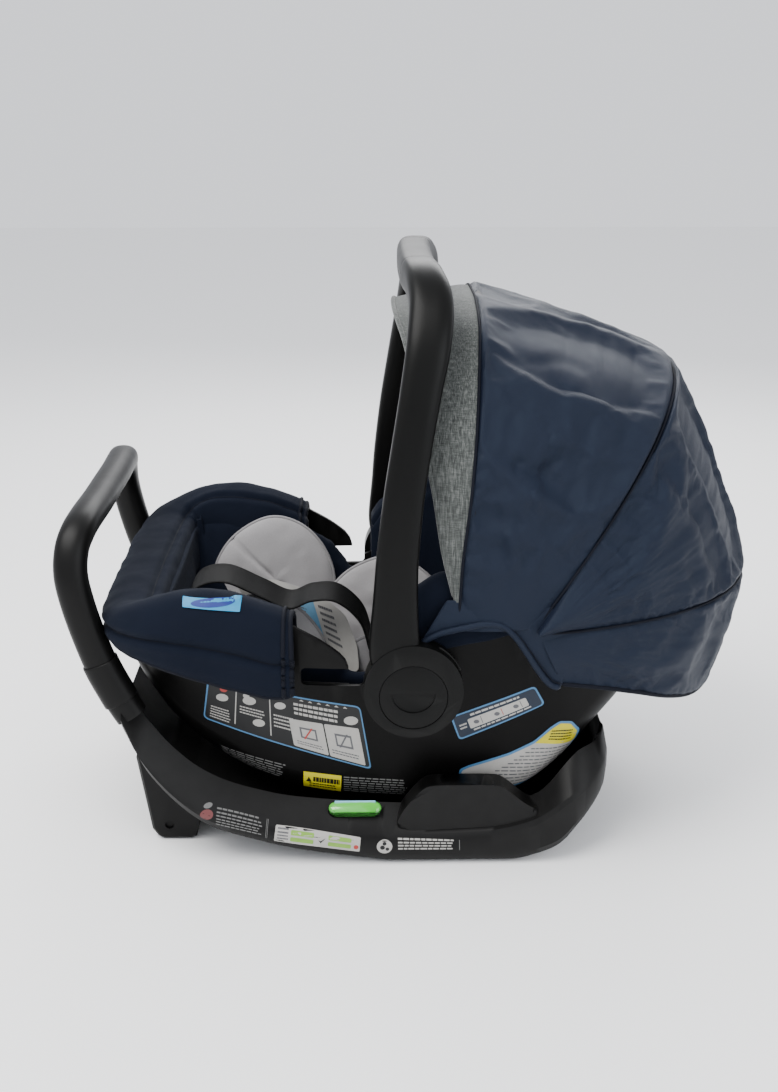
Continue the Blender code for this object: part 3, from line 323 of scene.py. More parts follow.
# Name, dark and light colour, thread scale, fuzz, roughness, cloudiness, wrinkles, shine, colour of the gleam.
CLOTHS = {
    "navy": (
        "navy_pad_cloth", (0.0016, 0.0023, 0.0054), (0.0042, 0.0058, 0.0124), 1300.0, 0.05, 0.88, 0.6, 0.16,
        0.13, (0.72, 0.84, 1.0),
    ),
    "canopy": (
        "navy_canopy_cloth", (0.0020, 0.0032, 0.0076), (0.0052, 0.0080, 0.0180), 1500.0, 0.04, 0.46, 0.5, 0.22,
        0.20, (0.70, 0.82, 1.0),
    ),
    "grey": ("grey_knit", (0.223, 0.214, 0.217), (0.347, 0.338, 0.344), 1100.0, 0.20, 0.92, 0.5, 0.22),
    "grey_edge": ("grey_piping", (0.167, 0.162, 0.166), (0.25, 0.242, 0.248), 1500.0, 0.2, 0.9, 0.4, 0.05),
    "piping": ("navy_piping", (0.0012, 0.0016, 0.0038), (0.0030, 0.0040, 0.0085), 1500.0, 0.04, 0.7, 0.4, 0.1),
    "lining": ("canopy_lining", (0.0012, 0.0017, 0.0036), (0.0028, 0.0036, 0.0072), 1500.0, 0.04, 0.85, 0.4, 0.15),
}


def make_materials():
    return {
        **{"ink_" + name: ink(name, colour) for name, colour in INKS.items()},
        **{name: plastic(*row) for name, row in PLASTICS.items()},
        **{name: weave(*row) for name, row in CLOTHS.items()},
        "heather": heather("grey_heather"),
        "webbing": webbing_cloth("black_webbing", (0.0012, 0.0012, 0.0013), (0.0045, 0.0045, 0.0048)),
        "metal": metal("plated_steel"),
        "foam": foam_bead("bead_foam"),
        "lens": lens_plastic("level_lens"),
    }


# --- geometry helpers ----------------------------------------------------------------------

def shade(obj, angle=35):
    """Smooth faces with sharp edges where the surface turns by more than the angle."""
    mesh = obj.data
    mesh.polygons.foreach_set("use_smooth", [True] * len(mesh.polygons))
    mesh.set_sharp_from_angle(angle=math.radians(angle))


def place_mesh(name, mesh, mats, smooth):
    """An object for the mesh, with these materials."""
    obj = bpy.data.objects.new(name, mesh)
    bpy.context.scene.collection.objects.link(obj)
    for mat in mats:
        if mat:
            mesh.materials.append(mat)
    shade(obj, smooth)
    return obj


def from_bmesh(name, bm, *mats, smooth=35, recalculate=True):
    if recalculate:
        bmesh.ops.recalc_face_normals(bm, faces=bm.faces[:])
    mesh = bpy.data.meshes.new(name)
    bm.to_mesh(mesh)
    bm.free()
    return place_mesh(name, mesh, mats, smooth)


def from_points(name, points, faces, *mats, smooth=60):
    mesh = bpy.data.meshes.new(name)
    mesh.from_pydata(points.tolist(), [], faces.tolist())
    return place_mesh(name, mesh, mats, smooth)


def bridge(bm, low, high):
    """Faces between two rings of as many vertices."""
    for i in range(len(low)):
        j = (i + 1) % len(low)
        bm.faces.new((low[i], low[j], high[j], high[i]))


def loft(name, rings, mat=None, smooth=35, closed=False):
    bm = bmesh.new()
    rows = [[bm.verts.new(point) for point in ring] for ring in rings]
    for low, high in zip(rows, rows[1:] + rows[:1] * closed):
        bridge(bm, low, high)
    if not closed:
        bm.faces.new(rows[0])
        bm.faces.new(rows[-1][::-1])
    return from_bmesh(name, bm, mat, smooth=smooth)


def prism(name, outline, low, high, mat=None, axis="Y", bevel=0.0, segments=3):
    """An outline swept along Y (outline in X and Z) or along Z (outline in X and Y)."""
    place = (lambda a, b, c: (a, c, b)) if axis == "Y" else (lambda a, b, c: (a, b, c))
    bm = bmesh.new()
    ends = [[bm.verts.new(place(a, b, c)) for a, b in outline] for c in (low, high)]
    bridge(bm, *ends)
    caps = [bm.faces.new(ends[0]), bm.faces.new(ends[1][::-1])]
    if bevel:
        bmesh.ops.bevel(
            bm, geom=list({edge for cap in caps for edge in cap.edges}), offset=bevel, segments=segments,
            profile=0.5, affect="EDGES", clamp_overlap=True,
        )
    return from_bmesh(name, bm, mat)


def circle(centre, radius, count=24, squash=1.0):
    turns = [2 * math.pi * k / count for k in range(count)]
    return [(centre[0] + radius * math.cos(a), centre[1] + squash * radius * math.sin(a)) for a in turns]


def side_prism(name, outline, low, high, side, mat=None, **more):
    return prism(name, outline, *sorted((side * low, side * high)), mat, **more)


def side_disc(name, centre, radius, low, high, side, mat=None, count=72, **more):
    return side_prism(name, circle(centre, radius, count), low, high, side, mat, **more)


def block(name, low, high):
    outline = [(low[0], low[2]), (high[0], low[2]), (high[0], high[2]), (low[0], high[2])]
    return prism(name, outline, low[1], high[1])


def bake(obj):
    """Applies all modifiers."""
    mesh = bpy.data.meshes.new_from_object(obj.evaluated_get(bpy.context.evaluated_depsgraph_get()))
    old = obj.data
    obj.modifiers.clear()
    obj.data = mesh
    mesh.name = obj.name
    bpy.data.meshes.remove(old)


def soften(obj, width, segments=3, angle=32):
    """Rounds the edges that turn by more than the angle."""
    bevel = obj.modifiers.new("round", "BEVEL")
    bevel.width = width
    bevel.segments = segments
    bevel.limit_method = "ANGLE"
    bevel.angle_limit = math.radians(angle)
    bake(obj)
    shade(obj, 40)


def boolean(obj, others, operation="DIFFERENCE"):
    for other in others:
        step = obj.modifiers.new("step", "BOOLEAN")
        step.object = other
        step.operation = operation
        step.solver = "EXACT"
    bpy.context.view_layer.update()
    bake(obj)
    for other in others:
        bpy.data.objects.remove(other, do_unlink=True)
    shade(obj)


def smooth_path(points, per_span):
    """A curve through the points, with per_span steps from each to the next."""
    points = [Vector(p) for p in points]
    ends = [points[0] * 2 - points[1], *points, points[-1] * 2 - points[-2]]
    path = []
    for i in range(1, len(ends) - 2):
        a, b, c, d = ends[i - 1:i + 3]
        for step in range(per_span):
            t = step / per_span
            path.append(0.5 * (
                2 * b + (c - a) * t + (2 * a - 5 * b + 4 * c - d) * t * t
                + (3 * b - a - 3 * c + d) * t ** 3
            ))
    path.append(points[-1])
    return path


def arc_length(line, axis=0):
    """Distance along each line of points, from zero."""
    steps = np.linalg.norm(np.diff(line, axis=axis), axis=-1)
    start = np.zeros_like(steps.take([0], axis=axis))
    return np.concatenate([start, np.cumsum(steps, axis=axis)], axis=axis)


def spaced(line, wanted_count, endpoint=True):
    """Evenly spaced points along a line of points."""
    along = arc_length(line)
    wanted = np.linspace(0.0, along[-1], wanted_count, endpoint=endpoint)
    return np.stack([np.interp(wanted, along, line[:, k]) for k in range(3)], axis=1)


def resample(points, count):
    """Evenly spaced points along a smooth curve through the given ones."""
    return spaced(np.array([tuple(p) for p in smooth_path(points, 10)]), count)


def value_at(table, x, smooth=True):
    """The table's value at x, along a smooth curve or straight lines between its rows."""
    if x <= table[0][0]:
        return table[0][1]
    if x >= table[-1][0]:
        return table[-1][1]
    i = max(k for k in range(len(table) - 1) if table[k][0] <= x)
    (x0, v0), (x1, v1) = table[i], table[i + 1]
    t = (x - x0) / (x1 - x0)
    if not smooth:
        return v0 + (v1 - v0) * t
    before, after = table[max(i - 1, 0)], table[min(i + 2, len(table) - 1)]
    slope0 = (v1 - before[1]) / (x1 - before[0])
    slope1 = (after[1] - v0) / (after[0] - x0)
    run = x1 - x0
    return (
        v0 * (1 + 2 * t) * (1 - t) ** 2 + slope0 * run * t * (1 - t) ** 2
        + v1 * t * t * (3 - 2 * t) - slope1 * run * t * t * (1 - t)
    )


def tube(name, path, radius, mat, sides, hint=(0, 0, 1)):
    """A round cord along a path, with rounded ends."""
    path = [Vector(p) for p in path]
    hint = Vector(hint)
    rings = []
    last = len(path) - 1
    for i, point in enumerate(path):
        along = (path[min(i + 1, last)] - path[max(i - 1, 0)]).normalized()
        side = along.cross(hint)
        side = side.normalized() if side.length > 1e-4 else along.orthogonal().normalized()
        up = side.cross(along)
        shrink = 0.35 if i in (0, last) else 1.0
        rings.append([
            point + side * (radius * shrink * math.cos(a)) + up * (radius * shrink * math.sin(a))
            for a in (2 * math.pi * k / sides for k in range(sides))
        ])
    return loft(name, rings, mat, 60)


def strap(name, path, across, width, thick, mat):
    """Webbing along a path, with a raised edge at each side."""
    across = Vector(across).normalized()
    path = [Vector(p) for p in path]
    profile = [
        (-0.5, -0.5), (-0.46, -0.8), (-0.40, -0.5), (0.0, -0.5), (0.40, -0.5), (0.46, -0.8), (0.5, -0.5),
        (0.5, 0.5), (0.46, 0.8), (0.40, 0.5), (0.0, 0.5), (-0.40, 0.5), (-0.46, 0.8), (-0.5, 0.5),
    ]
    rings = []
    for i, point in enumerate(path):
        along = path[min(i + 1, len(path) - 1)] - path[max(i - 1, 0)]
        side = (across - along * across.dot(along) / along.length_squared).normalized()
        up = along.cross(side).normalized()
        rings.append([point + side * a * width + up * b * thick for a, b in profile])
    return loft(name, rings, mat, 50)


def sweep(name, path, sizes, mat, sides, power):
    """A bar along a path: half depth along X, half width, and the power that squares its section."""
    hint = Vector((1, 0, 0))
    rings = []
    for i, point in enumerate(path):
        along = (path[min(i + 1, len(path) - 1)] - path[max(i - 1, 0)]).normalized()
        deep = (hint - along * hint.dot(along)).normalized()
        wide = along.cross(deep)
        half_deep, half_wide = sizes[i]
        ring = []
        for k in range(sides):
            angle = 2 * math.pi * (k + 0.5) / sides
            a, b = math.cos(angle), math.sin(angle)
            scale = (abs(a) ** power + abs(b) ** power) ** (-1 / power)
            ring.append(point + deep * a * scale * half_deep + wide * b * scale * half_wide)
        rings.append(ring)
    return loft(name, rings, mat, 40)


def grid_normals(grid):
    du = np.gradient(grid, axis=0)
    dv = np.gradient(grid, axis=1)
    out = np.cross(du, dv)
    length = np.linalg.norm(out, axis=2, keepdims=True)
    return out / np.maximum(length, 1e-9)


def grid_faces(index):
    """Quads through a grid of vertex numbers."""
    return np.stack([index[:-1, :-1], index[:-1, 1:], index[1:, 1:], index[1:, :-1]], axis=-1).reshape(-1, 4)


def sheet_from(name, grid, thick, mat, inner_mat=None):
    """A closed sheet: outer grid, inner grid and the turned edge between them."""
    inner, edge = (grid - grid_normals(grid) * depth for depth in (thick, thick / 2))
    rows, columns = grid.shape[:2]

    def border(g):
        return np.concatenate([g[0, :], g[1:-1, -1], g[-1, ::-1], g[-2:0:-1, 0]])

    outer_index = np.arange(rows * columns).reshape(rows, columns)
    inner_index = outer_index + rows * columns
    quads = grid_faces(outer_index)
    other = grid_faces(inner_index)[:, [0, 3, 2, 1]]
    ring_a, ring_b = border(outer_index), border(inner_index)
    ring_mid = np.arange(len(ring_a)) + 2 * rows * columns
    turn = np.roll(np.arange(len(ring_a)), -1)
    bands = [
        np.stack([a, b, b[turn], a[turn]], axis=-1) for a, b in ((ring_a, ring_mid), (ring_mid, ring_b))
    ]
    middle = border(edge) + grid_border_out(grid) * thick * 0.45
    points = np.concatenate([grid.reshape(-1, 3), inner.reshape(-1, 3), middle])
    obj = from_points(name, points, np.concatenate([quads, other, *bands]), mat, inner_mat)
    if inner_mat:
        marks = np.zeros(len(obj.data.polygons), dtype=np.int32)
        marks[len(quads):len(quads) + len(other)] = 1
        obj.data.polygons.foreach_set("material_index", marks)
    return obj


def grid_border_out(grid):
    """The direction out of the sheet at each border point."""
    def unit(v):
        return v / np.maximum(np.linalg.norm(v, axis=-1, keepdims=True), 1e-9)

    first, last = unit(grid[0] - grid[1]), unit(grid[-1] - grid[-2])
    left, right = unit(grid[:, 0] - grid[:, 1]), unit(grid[:, -1] - grid[:, -2])
    return np.concatenate([first, right[1:-1], last[::-1], left[-2:0:-1]])


def show(obj, body, replaces=()):
    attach(obj, body)
    if replaces:
        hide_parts(*replaces)


def show_cord(name, line, radius, mat, body, sides=10, slot="navy_fabric", **more):
    """A cord along a line of points, on its body."""
    show(tube(name, [tuple(p) for p in line], radius, mat, sides, **more), body)


# --- base ----------------------------------------------------------------------------------

BASE_HALF_WIDTH = 0.205
BASE_HEAD_X = 0.208
BASE_FOOT_X = -0.306
BASE_WALL = 0.004
BASE_CORNER = 0.07
RIM_WIDTH = 0.033
FLAT_BOTTOM = (-0.06, 0.10)     # the run of X where the bottom goes straight between its rows
# Heights along X: the bottom's edge, the side's upper edge, the rim and the deck inside it.
BOTTOM = [
    (-0.306, 0.150), (-0.279, 0.097), (-0.224, 0.047), (-0.177, 0.028), (-0.124, 0.014),
    (-0.06, 0.004), (-0.03, 0.0), (0.10, 0.0), (0.125, 0.0055), (0.153, 0.018), (0.171, 0.036), (0.208, 0.072),
]
RIDGE = [
    (-0.306, 0.168), (-0.286, 0.124), (-0.236, 0.076), (-0.150, 0.048), (-0.06, 0.036),
    (0.06, 0.037), (0.12, 0.050), (0.16, 0.076), (0.208, 0.104),
]
RIM = [
    (-0.306, 0.184), (-0.259, 0.128), (-0.213, 0.093), (-0.160, 0.074), (-0.116, 0.066),
    (-0.02, 0.059), (0.087, 0.060), (0.13, 0.070), (0.16, 0.104), (0.175, 0.116), (0.208, 0.116),
]
DECK = [
    (-0.306, 0.168), (-0.285, 0.138), (-0.25, 0.094), (-0.20, 0.056), (-0.15, 0.032),
    (-0.09, 0.019), (-0.03, 0.016), (0.10, 0.016), (0.145, 0.034), (0.168, 0.060), (0.19, 0.100), (0.208, 0.112),
]


def base_half(x):
    """Half width: narrower at the foot end, and round at the head end's corners."""
    half = BASE_HALF_WIDTH - 0.019 * max(0.0, (-0.23 - x) / 0.076) ** 1.5
    into = x - (BASE_HEAD_X - BASE_CORNER)
    if into > 0:
        half = BASE_HALF_WIDTH - BASE_CORNER + math.sqrt(max(BASE_CORNER ** 2 - into ** 2, 1e-6))
    return half


def mirrored_ring(x, right):
    """A closed ring across X from its +Y half, listed from the bottom up."""
    return [Vector((x, y, z)) for y, z in right] + [Vector((x, -y, z)) for y, z in reversed(right)]


def base_heights(x):
    bottom = value_at(BOTTOM, x, not FLAT_BOTTOM[0] < x < FLAT_BOTTOM[1])
    rim = value_at(RIM, x)
    return bottom, value_at(RIDGE, x), rim, min(value_at(DECK, x), rim - 0.002)


def base_section(x):
    half = base_half(x)
    bottom, ridge, rim, deck = base_heights(x)
    return mirrored_ring(x, [
        (half - 0.016, bottom), (half - 0.004, bottom + 0.004), (half, bottom + 0.012),
        (half, ridge - 0.006), (half - 0.003, ridge), (half - RIM_WIDTH + 0.003, rim - 0.001),
        (half - RIM_WIDTH, rim - 0.004 * (rim - deck > 0.012)),
        (half - RIM_WIDTH - 0.004, min(deck + 0.012, rim - 0.001)), (half - RIM_WIDTH - 0.018, deck),
    ])


def base_cavity(x, half_x):
    """The hollow's section at x, as wide as the base is at half_x."""
    half = base_half(half_x) - BASE_WALL
    bottom, ridge, rim, deck = base_heights(x)
    return mirrored_ring(x, [
        (half, bottom - 0.03), (half, ridge - 0.007), (half - 0.003, ridge - 0.005),
        (half - RIM_WIDTH + 0.010, rim - 0.007), (half - RIM_WIDTH - 0.003, min(deck + 0.006, rim - 0.008)),
        (half - RIM_WIDTH - 0.012, deck - 0.0045),
    ])


def stations(first, last, step, *extra):
    """Places along X about a step apart, with the extra ones among them."""
    count = max(2, round((last - first) / step))
    made = [first + (last - first) * i / count for i in range(count + 1)]
    made = [x for x in made if all(abs(x - other) > step * 0.3 for other in extra)]
    return sorted(made + list(extra))


LENS_CENTRE = (-0.065, 0.1835, 0.0530)
LENS_SIZE = (0.056, 0.0135)
LENS_LEAN = math.radians(33.0)


def capsule(length, width, steps=14):
    outline = []
    for end in (1, -1):
        for i in range(steps + 1):
            angle = math.radians(-90 + 180 * i / steps)
            x = end * (length / 2 - width / 2 + width / 2 * math.cos(angle))
            outline.append((x, end * width / 2 * math.sin(angle)))
    return outline


def lens_shape(name, side, spread, low, high, mat=None, bevel=0.0):
    x, y, z = LENS_CENTRE
    obj = prism(name, capsule(*(size + 2 * spread for size in LENS_SIZE)), low, high, mat, "Z", bevel, 5)
    obj.data.transform(Matrix.Translation((x, side * y, z)) @ Matrix.Rotation(-side * LENS_LEAN, 4, "X"))
    return obj


REBOUND_HALF_WIDTH = 0.167
REBOUND_BAR = (0.017, 0.015)


def rebound_path():
    half = REBOUND_HALF_WIDTH
    leg = [
        (-0.2975, half, 0.160), (-0.3045, half, 0.172), (-0.3135, half, 0.190), (-0.325, half, 0.216),
        (-0.336, half, 0.250), (-0.345, half, 0.285), (-0.350, half - 0.002, 0.315),
        (-0.349, half - 0.011, 0.339), (-0.345, half - 0.028, 0.353), (-0.342, 0.110, 0.3585),
        (-0.340, 0.055, 0.3595),
    ]
    return smooth_path([(x, -y, z) for x, y, z in leg] + [(-0.340, 0.0, 0.3595)] + leg[::-1], 6)


SIDES = ((-1, "left"), (1, "right"))


def make_base(mats):
    xs = stations(BASE_FOOT_X, BASE_HEAD_X, 0.006, -0.06, 0.10, 0.153, 0.2075)
    housing = loft("base_body", [base_section(x) for x in xs], mats["base"])
    hump = [
        (-0.024, 0.036), (-0.016, 0.060), (0.004, 0.085), (0.014, 0.091), (0.082, 0.091),
        (0.092, 0.088), (0.114, 0.068), (0.130, 0.060), (0.130, 0.044),
    ]
    hump = round_outline(hump, 0.016, 5)
    boolean(housing, [
        side_prism("hump", hump, 0.1735, 0.1985, side, bevel=0.0065, segments=5) for side, _ in SIDES
    ], "UNION")
    inner = stations(BASE_FOOT_X + 0.012, BASE_HEAD_X - 0.006, 0.010)
    cavity = loft("cavity", [base_cavity(x, min(x + 0.004, BASE_HEAD_X)) for x in inner])
    boolean(housing, [cavity, *(lens_shape("pocket", side, 0.0009, -0.001, 0.03) for side, _ in SIDES)])
    soften(housing, 0.0009, 2, 28)
    show(housing, "base", ["base_housing"])

    path = rebound_path()

    def bar(name, run, extra):
        sizes = [[size + extra for size in REBOUND_BAR]] * len(run)
        return sweep(name, run, sizes, mats["base"], 32, 2.4)

    show(bar("rebound_loop", path, 0.0), "base", ["anti_rebound_bar"])
    for side, word in SIDES:
        collar = bar("rebound_collar_" + word, path[8:20] if side < 0 else path[-20:-8], 0.0016)
        soften(collar, 0.001)
        show(collar, "base")
        lens = lens_shape("level_lens_" + word, side, 0.0, -0.0004, 0.0102, mats["lens"], 0.0040)
        show(lens, "base", ["level_window_" + word])
    return housing


def round_outline(points, radius, steps=6):
    """The outline with each corner turned into an arc."""
    made = []
    count = len(points)
    for i in range(count):
        before, here, after = (Vector(points[(i + k) % count]) for k in (-1, 0, 1))
        start = here + (before - here).normalized() * min(radius, (before - here).length * 0.45)
        end = here + (after - here).normalized() * min(radius, (after - here).length * 0.45)
        for s in range(steps + 1):
            t = s / steps
            made.append(tuple(start * (1 - t) ** 2 + here * 2 * t * (1 - t) + end * t * t))
    return made


# --- carrier shell -------------------------------------------------------------------------

SHELL_FOOT_X = -0.308
SHELL_HEAD_X = 0.312
SHELL_WALL = 0.005
LINER = 0.010
PAD = 0.0145
PIVOT = (-0.005, 0.210)
HUB_RADIUS = 0.050
HUB_IN = 0.2005
HUB_OUT = 0.225
BUTTON_RADIUS = 0.034

# Half width at the rim and low down, height of the bottom, radius of the lower corner, height of the rim.
HALF_TOP = [
    (-0.308, 0.145), (-0.300, 0.166), (-0.288, 0.181), (-0.270, 0.191), (-0.245, 0.196), (0.0, 0.196),
    (0.06, 0.191), (0.13, 0.187), (0.19, 0.178), (0.25, 0.157), (0.29, 0.128), (0.312, 0.092),
]
HALF_LOW = [
    (-0.308, 0.125), (-0.285, 0.140), (-0.24, 0.150), (-0.15, 0.160), (0.0, 0.164), (0.10, 0.164),
    (0.16, 0.158), (0.22, 0.138), (0.312, 0.080),
]
SHELL_LOW = [
    (-0.308, 0.222), (-0.29, 0.186), (-0.25, 0.126), (-0.20, 0.086), (-0.15, 0.058), (-0.09, 0.042),
    (-0.03, 0.038), (0.05, 0.038), (0.10, 0.046), (0.15, 0.076), (0.19, 0.115), (0.25, 0.182), (0.312, 0.285),
]
SHELL_CORNER = [(-0.308, 0.02), (-0.25, 0.040), (-0.15, 0.048), (0.10, 0.045), (0.20, 0.06), (0.312, 0.04)]
SHELL_RIM = [
    (-0.308, 0.254), (-0.288, 0.267), (-0.25, 0.286), (-0.20, 0.292), (-0.15, 0.286), (-0.125, 0.270),
    (-0.0705, 0.237), (-0.0695, 0.212), (-0.05, 0.213), (-0.025, 0.232), (0.03, 0.250), (0.09, 0.262),
    (0.145, 0.285), (0.20, 0.320), (0.265, 0.356), (0.312, 0.368),
]
# Height up to which the walls lean out: the rim without its step at the belt horns.
LEAN_RIM = [
    (-0.308, 0.254), (-0.25, 0.284), (-0.20, 0.288), (-0.15, 0.272), (-0.10, 0.245), (-0.04, 0.236),
    (0.03, 0.250), (0.09, 0.262), (0.145, 0.285), (0.20, 0.320), (0.265, 0.356), (0.312, 0.368),
]
NEST = 0.003                    # play between nested bowls


def trough(x, half_top, half_low, low, rim, top, corner, spread, steps=10):
    """A U-shaped section across X: walls lean out up to the rim, then stand straight up to the top."""
    full = value_at(LEAN_RIM, x)

    def wall(z):
        share = (z - low - corner) / (full - low - corner)
        return half_low + (half_top - half_low) * min(1.0, share) + spread

    shoulder = min(top, rim) - 0.004
    right = [(wall(top), top), (wall(shoulder), shoulder)]
    for share in (0.75, 0.5, 0.25):
        z = low + corner + (shoulder - low - corner) * share
        right.append((wall(z), z))
    for i in range(steps + 1):
        angle = math.radians(90 * i / steps)
        right.append((
            half_low + spread - corner + corner * math.cos(angle),
            low - spread + corner - corner * math.sin(angle),
        ))
    left = [(-y, z) for y, z in reversed(right)]
    return [Vector((x, y, z)) for y, z in right + left]


def shell_section(x, spread, top=None):
    """The shell's section at x, grown by spread, up to the rim or to top(x)."""
    rim = rim_at(x)
    half_top, half_low, low, corner = (
        value_at(table, x) for table in (HALF_TOP, HALF_LOW, SHELL_LOW, SHELL_CORNER)
    )
    corner = min(corner, (value_at(LEAN_RIM, x) - low) * 0.4)
    return trough(x, half_top, half_low, low, rim, top(x) if top else rim, corner, spread)


def shell_hull(name, spread, first, last, top=None, mat=None):
    # The marks follow the step at the belt horn.
    xs = stations(first, last, 0.006, -0.0735, -0.0718, -0.0706, -0.0694)
    return loft(name, [shell_section(x, spread, top) for x in xs], mat)


def rim_at(x):
    """The rim's height, rounded where its straight runs meet, with the step at the horn kept."""
    if x < -0.07:
        table = [row for row in SHELL_RIM if row[0] < -0.08]
        table += [(-0.100, 0.2555), (-0.086, 0.2455), (-0.078, 0.2385), (-0.0735, 0.2325), (-0.0706, 0.2240)]
    else:
        table = [row for row in SHELL_RIM if row[0] > -0.07]
    return value_at(table, x)


def pad_top(x):
    """Height of the soft rim's crown."""
    return value_at([
        (-0.32, 0.268), (-0.30, 0.284), (-0.24, 0.303), (-0.18, 0.299), (-0.125, 0.277), (-0.07, 0.230),
        (-0.03, 0.236), (0.03, 0.262), (0.09, 0.280), (0.16, 0.305), (0.24, 0.352), (0.322, 0.378),
    ], x)


def make_shell(mats):
    shell = shell_hull("carrier_body", 0.0, SHELL_FOOT_X, SHELL_HEAD_X, mat=mats["shell"])
    bosses = [side_disc("hub_boss", PIVOT, 0.040, 0.178, 0.2, side, bevel=0.002) for side, _ in SIDES]
    bosses += [side_disc("bow_boss", CANOPY_AXIS, 0.013, 0.178, 0.1895, side) for side, _ in SIDES]
    boolean(shell, bosses, "UNION")
    bowl = shell_hull(
        "bowl", -SHELL_WALL, SHELL_FOOT_X + SHELL_WALL, SHELL_HEAD_X - SHELL_WALL, lambda x: rim_at(x) + 0.05,
    )
    slot = round_outline([(-0.119, 0.201), (-0.055, 0.201), (-0.055, 0.222), (-0.119, 0.222)], 0.006, 5)
    cutters = [bowl, prism("belt_slots", slot, -0.3, 0.3)]
    for x in (-0.075, 0.075):
        cutters.append(block("latch_pocket", (x - 0.024, -0.032, 0.0), (x - 0.002, 0.032, 0.0405)))
    boolean(shell, cutters)
    soften(shell, 0.0018, 3, 30)
    show(shell, "carrier", ["carrier_shell"])
    return shell


# --- handle --------------------------------------------------------------------------------

# Height, X of the middle, Y of the middle, half depth along X, half thickness.
ARM = [
    (0.235, -0.020, 0.2128, 0.027, 0.0110), (0.257, -0.024, 0.2125, 0.0255, 0.0110),
    (0.300, -0.023, 0.2110, 0.0225, 0.0112), (0.346, -0.021, 0.2090, 0.0208, 0.0115),
    (0.405, -0.015, 0.2050, 0.0198, 0.0120), (0.455, -0.0075, 0.2000, 0.0195, 0.0125),
    (0.505, 0.0010, 0.1910, 0.0200, 0.0135), (0.550, 0.0090, 0.1760, 0.0215, 0.0155),
    (0.583, 0.0120, 0.1500, 0.0215, 0.0175), (0.600, 0.0070, 0.1180, 0.0195, 0.0180),
    (0.603, 0.0020, 0.0700, 0.0185, 0.0185),
]
GRIP_TOP = (0.603, 0.0010, 0.0, 0.0185, 0.0185)
GRIP_COVER_HALF = 0.082
GRIP_SPLIT = 0.6035


def handle_sweep(name, mat):
    rows = [(z, x, -y, deep, wide) for z, x, y, deep, wide in ARM] + [GRIP_TOP] + ARM[::-1]
    fine = 6
    path = smooth_path([(x, y, z) for z, x, y, _, _ in rows], fine)
    tables = [[(i * fine, row[column]) for i, row in enumerate(rows)] for column in (3, 4)]
    sizes = [[value_at(table, i) for table in tables] for i in range(len(path))]
    return sweep(name, path, sizes, mat, 40, 3.4)


def smile(width, drop, steps=20):
    outline = [(width / 2, 0.0), (-width / 2, 0.0)]
    for i in range(1, steps):
        angle = math.pi * i / steps
        outline.append((-width / 2 * math.cos(angle), -drop * math.sin(angle)))
    return outline


BUTTON_CENTRE = (PIVOT[0], PIVOT[1] - 0.006)
POCKET_FLOOR = 0.2135


def make_handle(mats):
    handle = handle_sweep("handle_body", mats["handle"])
    boolean(handle, [
        side_disc("hub", PIVOT, HUB_RADIUS, HUB_IN, HUB_OUT - 0.0005, side, count=96, bevel=0.0065, segments=5)
        for side, _ in SIDES
    ], "UNION")

    def grip_block(seam):
        half = GRIP_COVER_HALF + seam
        return block("grip", (-0.1, -half, GRIP_SPLIT - seam), (0.1, half, 0.7))

    cutters = [grip_block(0.0005)]
    for side, _ in SIDES:
        cutters.append(side_disc(
            "pocket", BUTTON_CENTRE, BUTTON_RADIUS + 0.0006, POCKET_FLOOR, 0.24, side, count=96,
        ))
        cutters.append(side_disc("bore", PIVOT, 0.0083, 0.19, 0.22, side))
    boolean(handle, cutters)
    soften(handle, 0.0012, 2, 35)
    show(handle, "handle", ["handle_frame"])
    grip = handle_sweep("grip_shell", mats["handle"])
    boolean(grip, [grip_block(0.0)], "INTERSECT")
    soften(grip, 0.001, 2, 40)
    show(grip, "handle", ["handle_grip_cover"])
    for side, word in SIDES:
        button = side_disc(
            "release_button_" + word, BUTTON_CENTRE, BUTTON_RADIUS, 0.2198, HUB_OUT - 0.0010, side,
            mats["handle"], 96, bevel=0.0022,
        )
        thumb = [(BUTTON_CENTRE[0] + x, BUTTON_CENTRE[1] + 0.004 + z) for x, z in smile(0.044, 0.021)]
        boolean(button, [side_prism("thumb", thumb, HUB_OUT - 0.0034, 0.24, side, bevel=0.0008)])
        soften(button, 0.0006, 2, 40)
        show(button, "handle_button_" + word, ["handle_button_" + word])
        # Raised index rib on the hub's head-end shoulder.
        turns = [math.radians(a) for a in range(22, 62, 2)]
        reach, y = HUB_RADIUS + 0.0005, side * (HUB_OUT - 0.0115)
        rib = [(PIVOT[0] + reach * math.cos(a), y, PIVOT[1] + reach * math.sin(a)) for a in turns]
        show_cord("hub_rib_" + word, rib, 0.0016, mats["handle"], "handle", slot="handle_plastic", hint=(0, 1, 0))


# --- canopy --------------------------------------------------------------------------------

